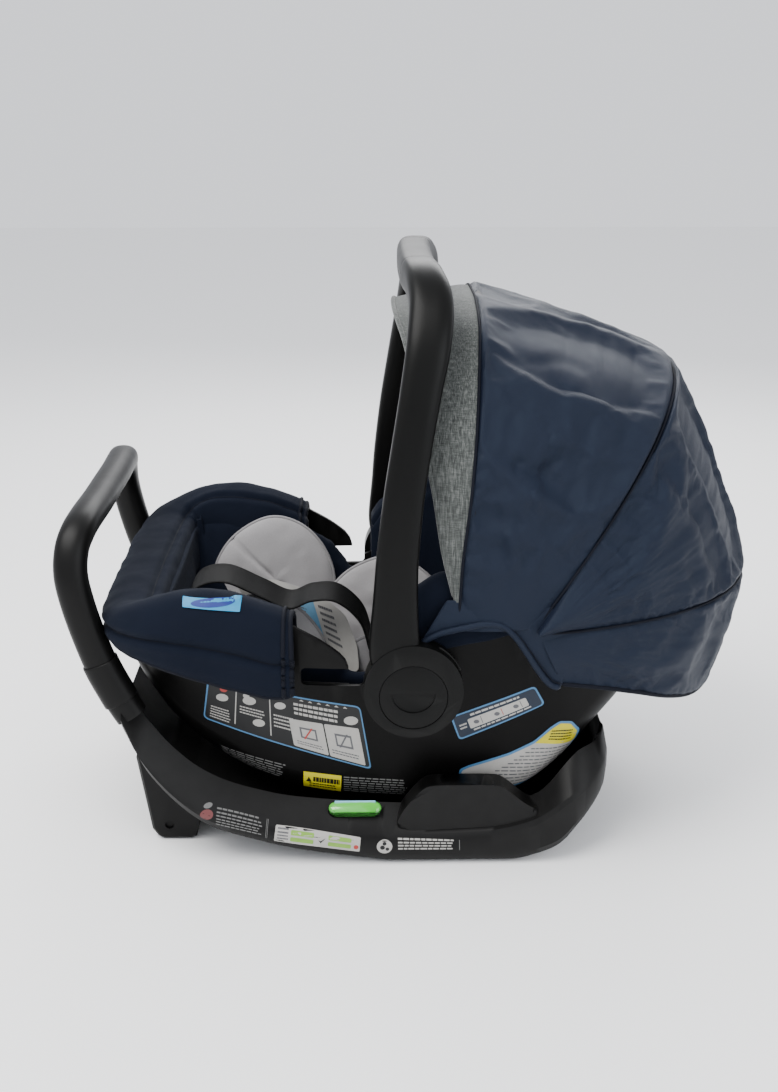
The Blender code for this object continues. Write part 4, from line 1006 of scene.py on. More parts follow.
# Angle from upright towards the head end, and radius at mid-width.
CROWN = [
    (-9, 0.3140), (-5, 0.3000), (9, 0.2835), (21, 0.2815), (34, 0.2900), (42, 0.2730), (52, 0.2600),
    (71, 0.2450), (85, 0.2535), (95, 0.2510), (106, 0.2490), (116, 0.2550),
]
CANOPY_HALF = 0.2060
SECTION_POWER = 2.5
MID_BOW_ANGLE = 34.0
REAR_BOW_ANGLE = 85.0
FRONT_EDGE = [
    (0.039, 0.2062, 0.2680), (0.040, 0.2060, 0.283), (0.043, 0.2060, 0.342), (0.050, 0.2030, 0.403),
    (0.055, 0.190, 0.460), (0.058, 0.168, 0.510), (0.061, 0.125, 0.555), (0.062, 0.062, 0.573),
    (0.062, 0.0, 0.576),
]
VISOR_EDGE = [
    (0.036, 0.2000, 0.300), (0.024, 0.1960, 0.350), (0.016, 0.1890, 0.400), (0.006, 0.1800, 0.450),
    (-0.002, 0.160, 0.500), (-0.012, 0.118, 0.540), (-0.020, 0.060, 0.558), (-0.022, 0.0, 0.561),
]
SKIRT_EDGE = [
    (0.145, 0.2020, 0.208), (0.185, 0.2000, 0.203), (0.225, 0.190, 0.193), (0.262, 0.168, 0.178),
    (0.295, 0.132, 0.164), (0.320, 0.088, 0.157), (0.336, 0.044, 0.155), (0.341, 0.0, 0.155),
]
CANOPY_CENTRE = np.array([CANOPY_AXIS[0], 0.0, CANOPY_AXIS[1]])
ROOT = 0.009                    # how far from the axis the middle and rear seams start
COLUMNS = 161                   # points along each seam
SETTLE_CAP = 0.0065             # the furthest the simulated cloth may move from its taut shape


def seam_along(half):
    """Evenly spaced points along a seam, given from the near side up to mid-width."""
    return resample([Vector((x, -y, z)) for x, y, z in half] + [Vector(point) for point in half[-2::-1]], COLUMNS)


def bow_curve(angle):
    """Half of the canopy's section in the plane at this angle, from the side up to mid-width."""
    radius = value_at(CROWN, angle)
    turn = math.radians(angle)
    points = []
    for share in (0.0, 0.2, 0.4, 0.58, 0.74, 0.86, 0.94, 0.985, 1.0):
        r = ROOT + (radius - ROOT) * share
        y = CANOPY_HALF * (1 - (r / radius) ** SECTION_POWER) ** (1 / SECTION_POWER) if share < 1 else 0.0
        points.append((CANOPY_AXIS[0] + r * math.sin(turn), y, CANOPY_AXIS[1] + r * math.cos(turn)))
    return points


def between(first, last, count):
    """Rows from one line of points to another, and each row's share of the way."""
    t = np.linspace(0.0, 1.0, count)[:, None, None]
    return first[None] * (1 - t) + last[None] * t, t


def cloth_rows(first, last, count, bulge):
    """Rows between two seams that swell out a little from the canopy's axis, as taut cloth does."""
    grid, t = between(first, last, count)
    out = grid - CANOPY_CENTRE
    reach = np.minimum(1.0, np.linalg.norm(out, axis=2, keepdims=True) / 0.2)
    out[..., 1] *= 0.3
    out /= np.maximum(np.linalg.norm(out, axis=2, keepdims=True), 1e-9)
    return grid + out * bulge * np.sin(np.pi * t) * reach


def free_of_root(grid):
    """0 where the cloth gathers at the bows' axis, towards 1 away from it."""
    away = np.hypot(grid[..., 0] - CANOPY_AXIS[0], grid[..., 2] - CANOPY_AXIS[1])
    share = np.clip((away - 0.035) / 0.085, 0.0, 1.0)
    return share * share * (3 - 2 * share)


def cloth_shape(obj, frames, stiffness, **settings):
    """Runs a cloth simulation on the object, and returns where its vertices end up."""
    cloth = obj.modifiers.new("cloth", "CLOTH")
    tension, shear, bending = stiffness
    settings.update(
        tension_stiffness=tension, compression_stiffness=tension, shear_stiffness=shear, bending_stiffness=bending,
        use_pressure=True,
    )
    for key, value in settings.items():
        setattr(cloth.settings, key, value)
    cloth.settings.effector_weights.gravity = 0.0
    cloth.collision_settings.use_collision = False
    cloth.point_cache.frame_start, cloth.point_cache.frame_end = 1, frames
    for frame_number in range(1, frames + 1):
        bpy.context.scene.frame_set(frame_number)
    mesh = obj.evaluated_get(bpy.context.evaluated_depsgraph_get()).to_mesh()
    places = vertex_values(mesh, "co")
    obj.modifiers.clear()
    bpy.context.scene.frame_set(1)
    return places


def vertex_values(mesh, key):
    values = np.empty(len(mesh.vertices) * 3)
    mesh.vertices.foreach_get(key, values)
    return values.reshape(-1, 3)


def no_further(moved, cap):
    """The moves, with each kept within the cap."""
    return moved * np.minimum(1.0, cap / np.maximum(np.linalg.norm(moved, axis=-1, keepdims=True), 1e-9))


def settle(name, grid, pressure, slack):
    """Lets an oversized cloth buckle between its first and last rows, and returns the creased grid."""
    rows, columns = grid.shape[:2]
    index = np.arange(rows * columns).reshape(rows, columns)
    obj = from_points(name + "_cloth", grid.reshape(-1, 3), grid_faces(index))
    held = [int(i) for row in (0, -1) for i in index[row]]
    obj.vertex_groups.new(name="pin").add(held, 1.0, "REPLACE")
    settled = cloth_shape(
        obj, 20, (12, 4, 0.35), quality=6, mass=0.15, air_damping=2.0, vertex_group_mass="pin",
        shrink_min=-slack, uniform_pressure_force=pressure,
    ).reshape(grid.shape)
    bpy.data.objects.remove(obj, do_unlink=True)
    return grid + no_further(settled - grid, SETTLE_CAP) * free_of_root(grid)[..., None]


def finer(grid):
    """A grid with twice the rows and columns, through cubic curves."""
    for axis in (0, 1):
        grid = np.moveaxis(grid, axis, 0)
        count = grid.shape[0]
        places = np.linspace(0, count - 1, (count - 1) * 2 + 1)
        low = np.clip(np.floor(places).astype(int), 0, count - 2)
        t = (places - low)[:, None, None]
        p0, p1 = grid[np.maximum(low - 1, 0)], grid[low]
        p2, p3 = grid[low + 1], grid[np.minimum(low + 2, count - 1)]
        grid = 0.5 * (
            2 * p1 + (p2 - p0) * t + (2 * p0 - 5 * p1 + 4 * p2 - p3) * t * t + (3 * p1 - p0 - 3 * p2 + p3) * t ** 3
        )
        grid = np.moveaxis(grid, 0, axis)
    return grid


def stitched(grid, depth, width=0.0045):
    """Draws the cloth in at its first and last rows, so that a seam reads as a groove."""
    along = arc_length(grid)
    to_end = along[-1][None] - along
    pull = depth[0] * np.exp(-((along / width) ** 2)) + depth[1] * np.exp(-((to_end / width) ** 2))
    return grid - grid_normals(grid) * pull[..., None]


def folds(grid, amount, seed):
    """Soft drag folds that fan out from the cloth's lower corners, over the settled creases."""
    rows, columns = grid.shape[:2]
    made = np.zeros((rows, columns))
    for i in range(rows):
        for j in range(columns):
            p = grid[i, j]
            x, z = p[0] - CANOPY_AXIS[0], p[2] - CANOPY_AXIS[1]
            spot = Vector((math.atan2(x, z) * 9.0, math.hypot(x, z) * 9.0 + seed, p[1] * 2.0))
            made[i, j] = noise.fractal(spot, 0.8, 2.2, 3)
    edge = np.sin(np.pi * np.linspace(0, 1, rows))[:, None] ** 0.6
    return grid + grid_normals(grid) * (made * edge * amount * free_of_root(grid))[..., None]


# Creases worn into the cloth's sides: X and Z along each, its depth (a ridge is negative) and its width.
CREASES = {
    "canopy_cloth_front": [
        ([(0.096, 0.437), (0.116, 0.429), (0.134, 0.437)], 0.0034, 0.0055),
        ([(0.098, 0.455), (0.116, 0.447), (0.132, 0.455)], -0.0038, 0.015),
        ([(0.122, 0.424), (0.139, 0.409), (0.159, 0.388)], 0.0042, 0.010),
        ([(0.105, 0.348), (0.122, 0.316), (0.131, 0.294)], 0.0040, 0.010),
        ([(0.131, 0.353), (0.158, 0.322)], 0.0036, 0.009),
        ([(0.084, 0.366), (0.108, 0.324), (0.127, 0.283)], -0.0046, 0.013),
        ([(0.063, 0.386), (0.085, 0.344)], 0.0036, 0.016),
        ([(0.112, 0.524), (0.145, 0.523), (0.167, 0.514)], 0.0026, 0.0055),
        ([(0.100, 0.510), (0.120, 0.480)], -0.0036, 0.018),
        ([(0.161, 0.501), (0.184, 0.461)], -0.0040, 0.018),
    ],
    "canopy_cloth_rear": [
        ([(0.213, 0.431), (0.187, 0.381)], 0.0036, 0.010),
        ([(0.263, 0.411), (0.219, 0.339)], -0.0038, 0.015),
        ([(0.276, 0.370), (0.215, 0.325)], 0.0020, 0.014),
    ],
    "canopy_cloth_skirt": [
        ([(0.215, 0.245), (0.172, 0.228)], 0.0026, 0.008),
        ([(0.285, 0.232), (0.240, 0.212)], -0.0028, 0.012),
    ],
}


def creased(grid, lines):
    """Presses worn creases into both sides, a little apart from one another."""
    side = grid[..., 1]
    flat = grid[..., [0, 2]] + (side > 0)[..., None] * np.array([0.012, -0.009])
    push = np.zeros(side.shape)
    for points, depth, width in lines:
        line = resample([Vector((x, 0.0, z)) for x, z in points], 24)[:, [0, 2]]
        away = np.linalg.norm(flat[:, :, None] - line[None, None], axis=3).min(axis=2)
        push += depth * np.exp(-((away / width) ** 2))
    push *= np.clip((np.abs(side) - 0.09) / 0.05, 0.0, 1.0)
    push *= np.sin(np.pi * np.linspace(0, 1, len(grid)))[:, None] ** 0.35 * free_of_root(grid)
    return grid - grid_normals(grid) * push[..., None]


# Where each folding panel leaves its first body, and where it has wholly joined its second.
FRONT_FOLD = ((0.0388, 0.0, 0.2782), (0.1657, 0.0, 0.2501))
REAR_FOLD = ((0.0795, 0.0, 0.3172), (0.1445, 0.0, 0.2068))


def make_canopy(mats):
    seam_front, seam_mid, seam_rear, hem, visor_edge = (
        seam_along(half)
        for half in (FRONT_EDGE, bow_curve(MID_BOW_ANGLE), bow_curve(REAR_BOW_ANGLE), SKIRT_EDGE, VISOR_EDGE)
    )
    # Node, first and last seam, rows, bulge, pressure, slack, folds and their seed, depth of the last seam.
    panels = {
        "canopy_cloth_front": (
            "canopy_panel_front", seam_front, seam_mid, 34, 0.004, 0.9, 0.020, 0.0022, 0.3, 0.0022,
        ),
        "canopy_cloth_rear": (
            "canopy_panel_rear", seam_mid, seam_rear, 52, 0.010, 0.8, 0.022, 0.0028, 1.7, 0.0022,
        ),
        "canopy_cloth_skirt": ("canopy_skirt", seam_rear, hem, 34, 0.004, 0.5, 0.020, 0.0016, 3.1, 0.0),
    }
    folding = {
        "canopy_cloth_front": ("canopy_front", "canopy_middle", *FRONT_FOLD),
        "canopy_cloth_rear": ("canopy_middle", "carrier", *REAR_FOLD),
    }
    for name, (node, first, last, rows, bulge, pressure, slack, fold, seed, depth) in panels.items():
        grid = settle(name, cloth_rows(first, last, rows, bulge), pressure, slack)
        grid = creased(finer(folds(grid, fold, seed)), CREASES[name])
        grid = stitched(grid, (0.0022, depth))
        cloth = sheet_from(name, grid, 0.0014, mats["canopy"], mats["lining"])
        if name in folding:
            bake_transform(cloth)
        else:
            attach(cloth, "carrier")
        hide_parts(node)

    tucked = seam_front + np.array([-0.0004, 0.0, 0.0])
    grid = finer(folds(cloth_rows(visor_edge, tucked, 22, 0.0015), 0.0008, 5.2))
    grid = stitched(grid, (0.0, 0.0012))
    visor = sheet_from("visor_cloth", grid, 0.0022, mats["heather"], mats["lining"])
    show(visor, "canopy_front", ["canopy_visor"])

    # Cord, its line, radius, how far it lies under the line, body and cloth.
    for name, line, radius, inward, body, mat in (
        ("seam_cord_front", seam_front[2:-2], 0.0014, 0.0009, "canopy_front", "piping"),
        ("seam_cord_middle", seam_mid, 0.0013, 0.0012, "canopy_middle", "piping"),
        ("seam_cord_rear", seam_rear, 0.0013, 0.0012, "carrier", "piping"),
        ("visor_binding", visor_edge, 0.0024, 0.0004, "canopy_front", "heather"),
        ("skirt_binding", hem, 0.0024, 0.0, "carrier", "piping"),
    ):
        out = line - CANOPY_CENTRE
        out /= np.linalg.norm(out, axis=1, keepdims=True)
        show_cord(name, line - out * inward, radius, mats[mat], body)


# --- soft goods ----------------------------------------------------------------------------

# How far the pad's inner face is from the shell's outer one.
CAVITY = SHELL_WALL + NEST + LINER + 1.5 * NEST + PAD


def plan_normals(path):
    """Unit vectors out of the seat, square to a path in plan from the near side round to the far side."""
    along = np.gradient(path, axis=0)
    along[:, 2] = 0.0
    along /= np.linalg.norm(along, axis=1, keepdims=True)
    out = np.stack([along[:, 1], -along[:, 0], np.zeros(len(along))], axis=1)
    return out * np.sign((path * out).sum(axis=1))[:, None]


def rim_path(rows, count):
    """Mirrors half of a rim line, given from the side end to mid-width, and spaces it evenly."""
    half = [Vector((x, -y, 0.0)) for x, y in rows]
    other = [Vector((x, y, 0.0)) for x, y in reversed(rows[:-1])]
    return resample(half + other, count)


PER = 5                         # columns between one profile row and the next


def rolled(path, profile, tops, lows):
    """A grid whose rows run along the path and whose columns follow a padded profile.

    Each profile row is (offset out, share of the way from the top to the hem, extra height).
    """
    out = plan_normals(path)
    grid = []
    for i, place in enumerate(path):
        points = []
        for offset, share, lift in profile:
            z = tops[i] + (lows[i] - tops[i]) * share + lift
            points.append(Vector((place[0] + out[i][0] * offset, place[1] + out[i][1] * offset, z)))
        grid.append([tuple(p) for p in smooth_path(points, PER)])
    return np.array(grid)


def outward(grid):
    """The grid's rows in the order that makes its normals point away from the seat."""
    column = 2 * grid.shape[1] // 3
    middle = grid.reshape(-1, 3).mean(axis=0)
    facing = ((grid[:, column] - middle) * grid_normals(grid)[:, column])[:, :2].sum()
    return grid if facing > 0 else grid[::-1]


def groove(grid, column, depth=0.0030, width=0.0035):
    """Pulls a sewn line in along one column of the grid, and raises the padding on both sides of it."""
    along = arc_length(grid, 1)
    away = along - along[:, column][:, None]
    beside = (np.abs(away) - 2.2 * width) / (1.4 * width)
    pull = depth * np.exp(-((away / width) ** 2)) - depth * 0.35 * np.exp(-(beside ** 2))
    return grid - grid_normals(grid) * pull[..., None]


def puckers(grid, columns, amount, pitch, reach=0.012):
    """Small gathers beside sewn columns."""
    along = arc_length(grid, 1)
    run = arc_length(grid[:, grid.shape[1] // 2])
    wave = np.array([noise.noise(Vector((s / pitch, 3.7, 1.1))) for s in run])[:, None]
    near = sum(np.exp(-(((along - along[:, c][:, None]) / reach) ** 2)) for c in columns)
    return grid + grid_normals(grid) * (wave * near * amount)[..., None]


def rumple(grid, amount, scale, seed=0.0):
    """Soft unevenness of a stuffed cover."""
    flat = grid.reshape(-1, 3)
    made = np.array([noise.fractal(Vector(p * scale) + Vector((seed, seed, seed)), 0.9, 2.1, 3) for p in flat])
    return grid + grid_normals(grid) * (made.reshape(grid.shape[:2]) * amount)[..., None]


# Height of the foot-end cover's hem.
FLAP_LOW = [
    (-0.32, 0.246), (-0.30, 0.2455), (-0.26, 0.233), (-0.218, 0.217), (-0.17, 0.203), (-0.149, 0.1975),
    (-0.12, 0.199),
]


def make_rim_foot(mats):
    half = [
        (-0.1275, 0.196), (-0.16, 0.196), (-0.20, 0.196), (-0.245, 0.196), (-0.268, 0.1915), (-0.288, 0.181),
        (-0.300, 0.166), (-0.307, 0.145), (-0.3095, 0.10), (-0.3105, 0.05), (-0.311, 0.0),
    ]
    path = rim_path(half, 181)
    tops = [pad_top(max(p[0], -0.309)) - 0.0005 for p in path]
    lows = [value_at(FLAP_LOW, p[0]) for p in path]
    profile = [
        (-0.053, 0.80, -0.030), (-0.050, 0.55, -0.012), (-0.044, 0.30, 0.0), (-0.034, 0.105, 0.0),
        (-0.021, 0.012, 0.0), (-0.006, -0.020, 0.0), (0.0065, 0.045, 0.0), (0.0150, 0.20, 0.0),
        (0.0185, 0.40, 0.0), (0.0175, 0.575, 0.0), (0.0182, 0.72, 0.0), (0.0178, 0.88, 0.0), (0.0145, 1.0, 0.0),
    ]
    grid = outward(rolled(path, profile, tops, lows))
    seam_outer, seam_inner = 9 * PER, 3 * PER + 1
    grid = groove(groove(grid, seam_outer), seam_inner)
    grid = puckers(grid, (seam_outer, seam_inner), 0.0006, 0.018)
    grid = rumple(grid, 0.0022, 16.0, 0.4)
    cover = sheet_from("rim_pad_foot", grid, 0.0045, mats["navy"])
    show(cover, "carrier", ["rim_cover_foot"])
    normals = grid_normals(grid)
    for word, row in (("near", 0), ("far", -1)):
        edge = grid[row]
        away = edge - grid[1 if row == 0 else -2]
        away /= np.linalg.norm(away, axis=1, keepdims=True)
        for k, (back, lift, radius) in enumerate(((0.0006, -0.0016, 0.0030), (-0.0078, 0.0002, 0.0022))):
            line = edge[6:] + away[6:] * back + normals[row][6:] * lift
            show_cord(f"rim_foot_binding_{word}_{k}", line, radius, mats["piping"], "carrier", 12)
    show_cord("rim_foot_hem", grid[:, -1] - normals[:, -1] * 0.0020, 0.0028, mats["piping"], "carrier", 12)
    for word, column in (("outer", seam_outer), ("inner", seam_inner)):
        line = grid[2:-2, column] + normals[2:-2, column] * 0.0002
        show_cord("rim_foot_seam_" + word, line, 0.0006, mats["piping"], "carrier", 6)
    return cover


# Height of the head-end cover, whose wings stand up beside the hubs.
WING_TOP = [
    (-0.046, 0.268), (-0.036, 0.284), (0.0, 0.304), (0.020, 0.3165), (0.036, 0.3185), (0.09, 0.3125),
    (0.16, 0.316), (0.24, 0.358), (0.322, 0.382),
]


def make_rim_head(mats):
    half = [
        (-0.046, 0.192), (-0.01, 0.1925), (0.030, 0.1925), (0.06, 0.191), (0.13, 0.187), (0.19, 0.178),
        (0.25, 0.157), (0.288, 0.128), (0.306, 0.092), (0.3115, 0.05), (0.313, 0.0),
    ]
    path = rim_path(half, 201)
    tops = [value_at(WING_TOP, p[0]) for p in path]
    lows = [rim_at(p[0]) - 0.004 for p in path]
    profile = [
        (-0.052, 2.2, -0.018), (-0.049, 1.5, 0.0), (-0.044, 0.75, 0.0), (-0.036, 0.22, 0.0), (-0.024, 0.01, 0.0),
        (-0.010, -0.03, 0.0), (-0.001, 0.15, 0.0), (0.0028, 0.50, 0.0), (0.0028, 1.0, 0.0),
    ]
    grid = outward(rolled(path, profile, tops, lows))
    seam = 3 * PER + 1
    grid = rumple(puckers(groove(grid, seam), (seam,), 0.0012, 0.014), 0.0016, 18.0, 2.2)
    cover = sheet_from("rim_pad_head", grid, 0.0045, mats["navy"])
    show(cover, "carrier", ["rim_cover_head"])


def leaf_outline(points, count=96):
    """A closed smooth outline through the points, evenly spaced."""
    ring = [Vector((x, 0.0, z)) for x, z in points]
    line = resample(ring + ring[:3], count * 4)
    away = np.linalg.norm(line - np.array(ring[1]), axis=1)
    half = len(line) // 2
    closed = line[int(np.argmin(away[: len(line) // 3])):half + int(np.argmin(away[half:]))]
    return spaced(np.vstack([closed, closed[:1]]), count, False)[:, [0, 2]]


def cushion(name, outline, face, thick, side, mat, seam, seed, lean=0.10, rings=18, crown=0.55):
    """A stuffed leaf shape: crowned in front, pinched to an edge all round, nearly flat behind."""
    centre = outline.mean(axis=0)
    bm = bmesh.new()
    layers = []
    shares = [math.sin(math.pi / 2 * (k + 1) / rings) for k in range(rings)]
    for front in (True, False):
        layer = []
        for share in shares:
            row = []
            for x, z in outline:
                px, pz = centre[0] + (x - centre[0]) * share, centre[1] + (z - centre[1]) * share
                swell = (1 - share ** 3.2) ** 0.5
                depth = thick * crown * swell if front else -thick * (1 - crown) * swell
                if front:
                    spot = Vector((px * 28 + seed, pz * 28, side * 2.0))
                    depth += 0.0016 * swell * noise.fractal(spot, 0.9, 2.0, 3)
                    if seam:
                        (ax, az), (bx, bz) = seam
                        length = math.hypot(bx - ax, bz - az)
                        away = ((px - ax) * (bz - az) - (pz - az) * (bx - ax)) / length
                        depth -= 0.0026 * math.exp(-(away / 0.0028) ** 2)
                y = face - depth + lean * (pz - centre[1])
                row.append(bm.verts.new((px, side * y, pz)))
            layer.append(row)
        layers.append(layer)
    count = len(outline)
    for layer in layers:
        middle = bm.verts.new(sum((v.co for v in layer[0]), Vector()) / count)
        for i in range(count):
            bm.faces.new((middle, layer[0][i], layer[0][(i + 1) % count]))
        for low, high in zip(layer, layer[1:]):
            bridge(bm, low, high)
    bmesh.ops.remove_doubles(bm, verts=bm.verts[:], dist=1e-6)
    edge = [(x, side * (face + lean * (z - centre[1])), z) for x, z in outline]
    return from_bmesh(name, bm, mat, smooth=60), edge


def closed_cord(name, points, radius, mat, sides=10):
    points = [Vector(p) for p in points]
    count = len(points)
    rings = []
    for i, point in enumerate(points):
        along = (points[(i + 1) % count] - points[i - 1]).normalized()
        side = along.cross(Vector((0, 1, 0))).normalized()
        up = side.cross(along)
        rings.append([
            point + side * radius * math.cos(a) + up * radius * math.sin(a)
            for a in (2 * math.pi * k / sides for k in range(sides))
        ])
    return loft(name, rings, mat, 60, closed=True)


def make_inserts(mats):
    thigh = [
        (-0.236, 0.175), (-0.240, 0.212), (-0.216, 0.254), (-0.172, 0.279), (-0.132, 0.270), (-0.103, 0.238),
        (-0.092, 0.196), (-0.104, 0.152), (-0.150, 0.136), (-0.205, 0.142),
    ]
    waist = [
        (-0.108, 0.158), (-0.100, 0.186), (-0.070, 0.217), (-0.024, 0.232), (0.018, 0.213), (0.046, 0.176),
        (0.056, 0.140), (0.010, 0.122), (-0.050, 0.120), (-0.096, 0.130),
    ]
    thigh_seam = ((-0.214, 0.250), (-0.128, 0.170))
    guide = [(0.000, 0.1005, 0.205), (0.003, 0.098, 0.1985), (0.006, 0.0972, 0.1915), (0.009, 0.098, 0.184)]
    # Name, outline, distance of the face from mid-width, thickness, seam, seed, cloth and the nodes it stands for.
    pads = (
        ("thigh", thigh, 0.124, 0.018, thigh_seam, 1.3, "heather_fabric", ["body_insert_"]),
        ("waist", waist, 0.113, 0.017, None, 2.9, "grey_fabric", []),
    )
    for side, word in SIDES:
        for part, points, face, thick, seam, seed, slot, nodes in pads:
            outline = leaf_outline(points)
            pad, edge = cushion(f"{part}_pad_{word}", outline, face, thick, side, mats["grey"], seam, side * seed)
            show(pad, "carrier", [node + word for node in nodes])
            piping = closed_cord(f"{part}_piping_{word}", edge, 0.0019, mats["grey_edge"])
            show(piping, "carrier")
        loop = resample([(x, side * y, z) for x, y, z in guide], 12)
        tab = strap("strap_guide_" + word, loop, (1, 0, 0.5), 0.010, 0.0014, mats["piping"])
        show(tab, "carrier")


def puff(name, node, mat, voxel, pressure, cap, seams=()):
    """Stuffs a node's form: remeshed, rounded, blown up a little as cloth, and sewn along its seams."""
    obj = bpy.data.objects.new(name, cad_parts[node].data.copy())
    bpy.context.scene.collection.objects.link(obj)
    remesh = obj.modifiers.new("voxels", "REMESH")
    remesh.mode = "VOXEL"
    remesh.voxel_size = voxel
    smooth = obj.modifiers.new("relax", "SMOOTH")
    smooth.factor = 0.5
    smooth.iterations = 6
    bake(obj)
    before = vertex_values(obj.data, "co")
    after = cloth_shape(obj, 16, (15, 5, 0.5), quality=5, mass=0.2, uniform_pressure_force=pressure)
    obj.data.vertices.foreach_set("co", (before + no_further(after - before, cap)).reshape(-1))
    obj.data.update()
    step = obj.modifiers.new("finer", "SUBSURF")
    step.levels = step.render_levels = 1
    bake(obj)
    sew(obj, seams)
    obj.data.materials.clear()
    obj.data.materials.append(mat)
    shade(obj, 70)
    show(obj, "carrier", [node])


def sew(obj, seams):
    """Pulls a soft groove in along each seam line, given as (points, depth, width)."""
    places, normals = vertex_values(obj.data, "co"), vertex_values(obj.data, "normal")
    count = len(places)
    pull = np.zeros(count)
    for points, depth, width in seams:
        line = resample(points, 60)
        nearest = np.full(count, 1.0)
        for a, b in zip(line, line[1:]):
            run = b - a
            t = np.clip(((places - a) @ run) / (run @ run), 0.0, 1.0)
            nearest = np.minimum(nearest, np.linalg.norm(places - (a + t[:, None] * run), axis=1))
        pull = np.maximum(pull, depth * np.exp(-((nearest / width) ** 2)))
    places = places - normals * pull[:, None]
    obj.data.vertices.foreach_set("co", places.reshape(-1))
    obj.data.update()


def make_seat(mats):
    def inner(x, y):
        """A point on the pad's inner face."""
        pairs = sorted((p.y, p.z) for p in shell_section(x, -CAVITY))
        return (x, y, float(np.interp(y, [a for a, b in pairs], [b for a, b in pairs])))

    lengthwise = (-0.26, -0.22, -0.18, -0.12, -0.04, 0.04, 0.11, 0.17, 0.22)
    crosswise = (-0.07, -0.035, 0.0, 0.035, 0.07)
    lines = [[inner(x, y) for x in lengthwise] for y in (-0.072, 0.072)]
    lines += [[inner(x, y) for y in crosswise] for x in (-0.215, -0.150, 0.030, 0.095, 0.160, 0.215)]
    seams = [(line, 0.0045, 0.006) for line in lines]
    puff("seat_cushion", "seat_pad", mats["navy"], 0.006, 2.0, 0.003, seams)
    puff("head_cushion", "head_support", mats["grey"], 0.0045, 3.0, 0.005)


def make_straps(mats):
    near = [
        (-0.042, -0.129, 0.200), (-0.048, -0.132, 0.228), (-0.058, -0.134, 0.260), (-0.082, -0.134, 0.282),
        (-0.108, -0.134, 0.283), (-0.132, -0.134, 0.275), (-0.160, -0.134, 0.288), (-0.195, -0.134, 0.304),
        (-0.222, -0.134, 0.300), (-0.234, -0.131, 0.282), (-0.236, -0.129, 0.268),
    ]
    near_strap = strap("shoulder_web_left", resample(near, 120), (0.05, 1.0, 0.25), 0.034, 0.0016, mats["webbing"])
    show(near_strap, "carrier", ["shoulder_strap_left"])

    over_pad = ((0.130, 0.012), (0.09, 0.016), (0.04, 0.016), (-0.02, 0.016))
    far = [(x, 0.048, value_at(SHELL_LOW, x) + CAVITY + lift) for x, lift in over_pad]
    far += [(-0.058, 0.030, 0.120)]
    far_strap = strap("shoulder_web_right", resample(far, 80), (0.0, 1.0, 0.0), 0.034, 0.0016, mats["webbing"])
    show(far_strap, "carrier", ["shoulder_strap_right"])


def make_side_flap(mats):
    """The canopy cover's bound edge that arches over the back of each hub, and the cloth behind it."""
    arch = [
        (0.002, 0.2072, 0.256), (0.020, 0.2072, 0.266), (0.045, 0.2074, 0.2725), (0.066, 0.2076, 0.2765),
        (0.083, 0.2076, 0.2745), (0.097, 0.2074, 0.262), (0.110, 0.2070, 0.243), (0.122, 0.2064, 0.224),
        (0.134, 0.2050, 0.2090), (0.1445, 0.2036, 0.2050),
    ]
    crest = [
        (0.028, 0.2052, 0.300), (0.080, 0.2048, 0.300), (0.120, 0.2046, 0.296), (0.150, 0.2030, 0.280),
        (0.162, 0.2000, 0.255),
    ]
    for side, word in SIDES:
        edge, top = (resample([Vector((x, side * y, z)) for x, y, z in line], 60) for line in (arch, crest))
        grid, t = between(edge, top, 18)
        grid[..., 1] += side * 0.0012 * np.sin(np.pi * t[..., 0])
        if grid_normals(grid)[8, 30, 1] * side < 0:
            grid = grid[:, ::-1]
        grid = rumple(grid, 0.0012, 24.0, side * 1.7)
        cloth = sheet_from("side_flap_" + word, grid, 0.0016, mats["canopy"], mats["lining"])
        show(cloth, "carrier")
        # Name, share of the way to the crest, height over the cloth, radius, material and sides.
        for part, share, lift, radius, mat, sides in (
            ("binding", 0.0, 0.0006, 0.0034, "canopy", 14), ("stitch", 0.085, 0.0016, 0.0006, "piping", 6),
        ):
            line = edge + (top - edge) * share + np.array([0.0, side * lift, 0.0])
            show_cord(f"side_flap_{part}_{word}", line, radius, mats[mat], "carrier", sides, hint=(0, 1, 0))


# --- labels --------------------------------------------------------------------------------

PATCH_PITCH = 0.0032            # between the points of a label
CARD_PITCH = 0.006              # and of the card


def lay_patch(bm, outline, pitch, margin, place, ink):
    """Lays a flat outline (in X and Z) as a thin skin through the places given, facing the near side."""
    low = Vector((min(p.x for p in outline), min(p.y for p in outline)))
    high = Vector((max(p.x for p in outline), max(p.y for p in outline)))
    across, up = (int(size / pitch) + 1 for size in high - low)
    extra = [Vector((low.x + i * pitch, low.y + j * pitch)) for i in range(1, across) for j in range(1, up)]
    count = len(outline)
    verts, _, faces, *_ = geometry.delaunay_2d_cdt(
        outline + [p for p in extra if within(p, outline, margin)], [(i, (i + 1) % count) for i in range(count)],
        [], 1, 1e-7,
    )
    made = [bm.verts.new(place(v.x, v.y)) for v in verts]
    for face in faces:
        new = bm.faces.new([made[k] for k in face])
        new.material_index = ink
        new.normal_update()
        if new.normal.y > 0:
            new.normal_flip()


def divided(outline, pitch):
    """The outline with extra points along its long edges."""
    made = []
    for a, b in zip(outline, outline[1:] + outline[:1]):
        parts = max(1, math.ceil((b - a).length / pitch))
        made += [a.lerp(b, k / parts) for k in range(parts)]
    return [p for k, p in enumerate(made) if (p - made[k - 1]).length > 2e-5]


def within(p, outline, margin):
    inside = False
    count = len(outline)
    for i in range(count):
        a, b = outline[i], outline[(i + 1) % count]
        if (a.y > p.y) != (b.y > p.y) and p.x < (b.x - a.x) * (p.y - a.y) / (b.y - a.y) + a.x:
            inside = not inside
        run = b - a
        t = max(0.0, min(1.0, (p - a).dot(run) / max(run.length_squared, 1e-12)))
        if (p - (a + run * t)).length < margin:
            return False
    return inside


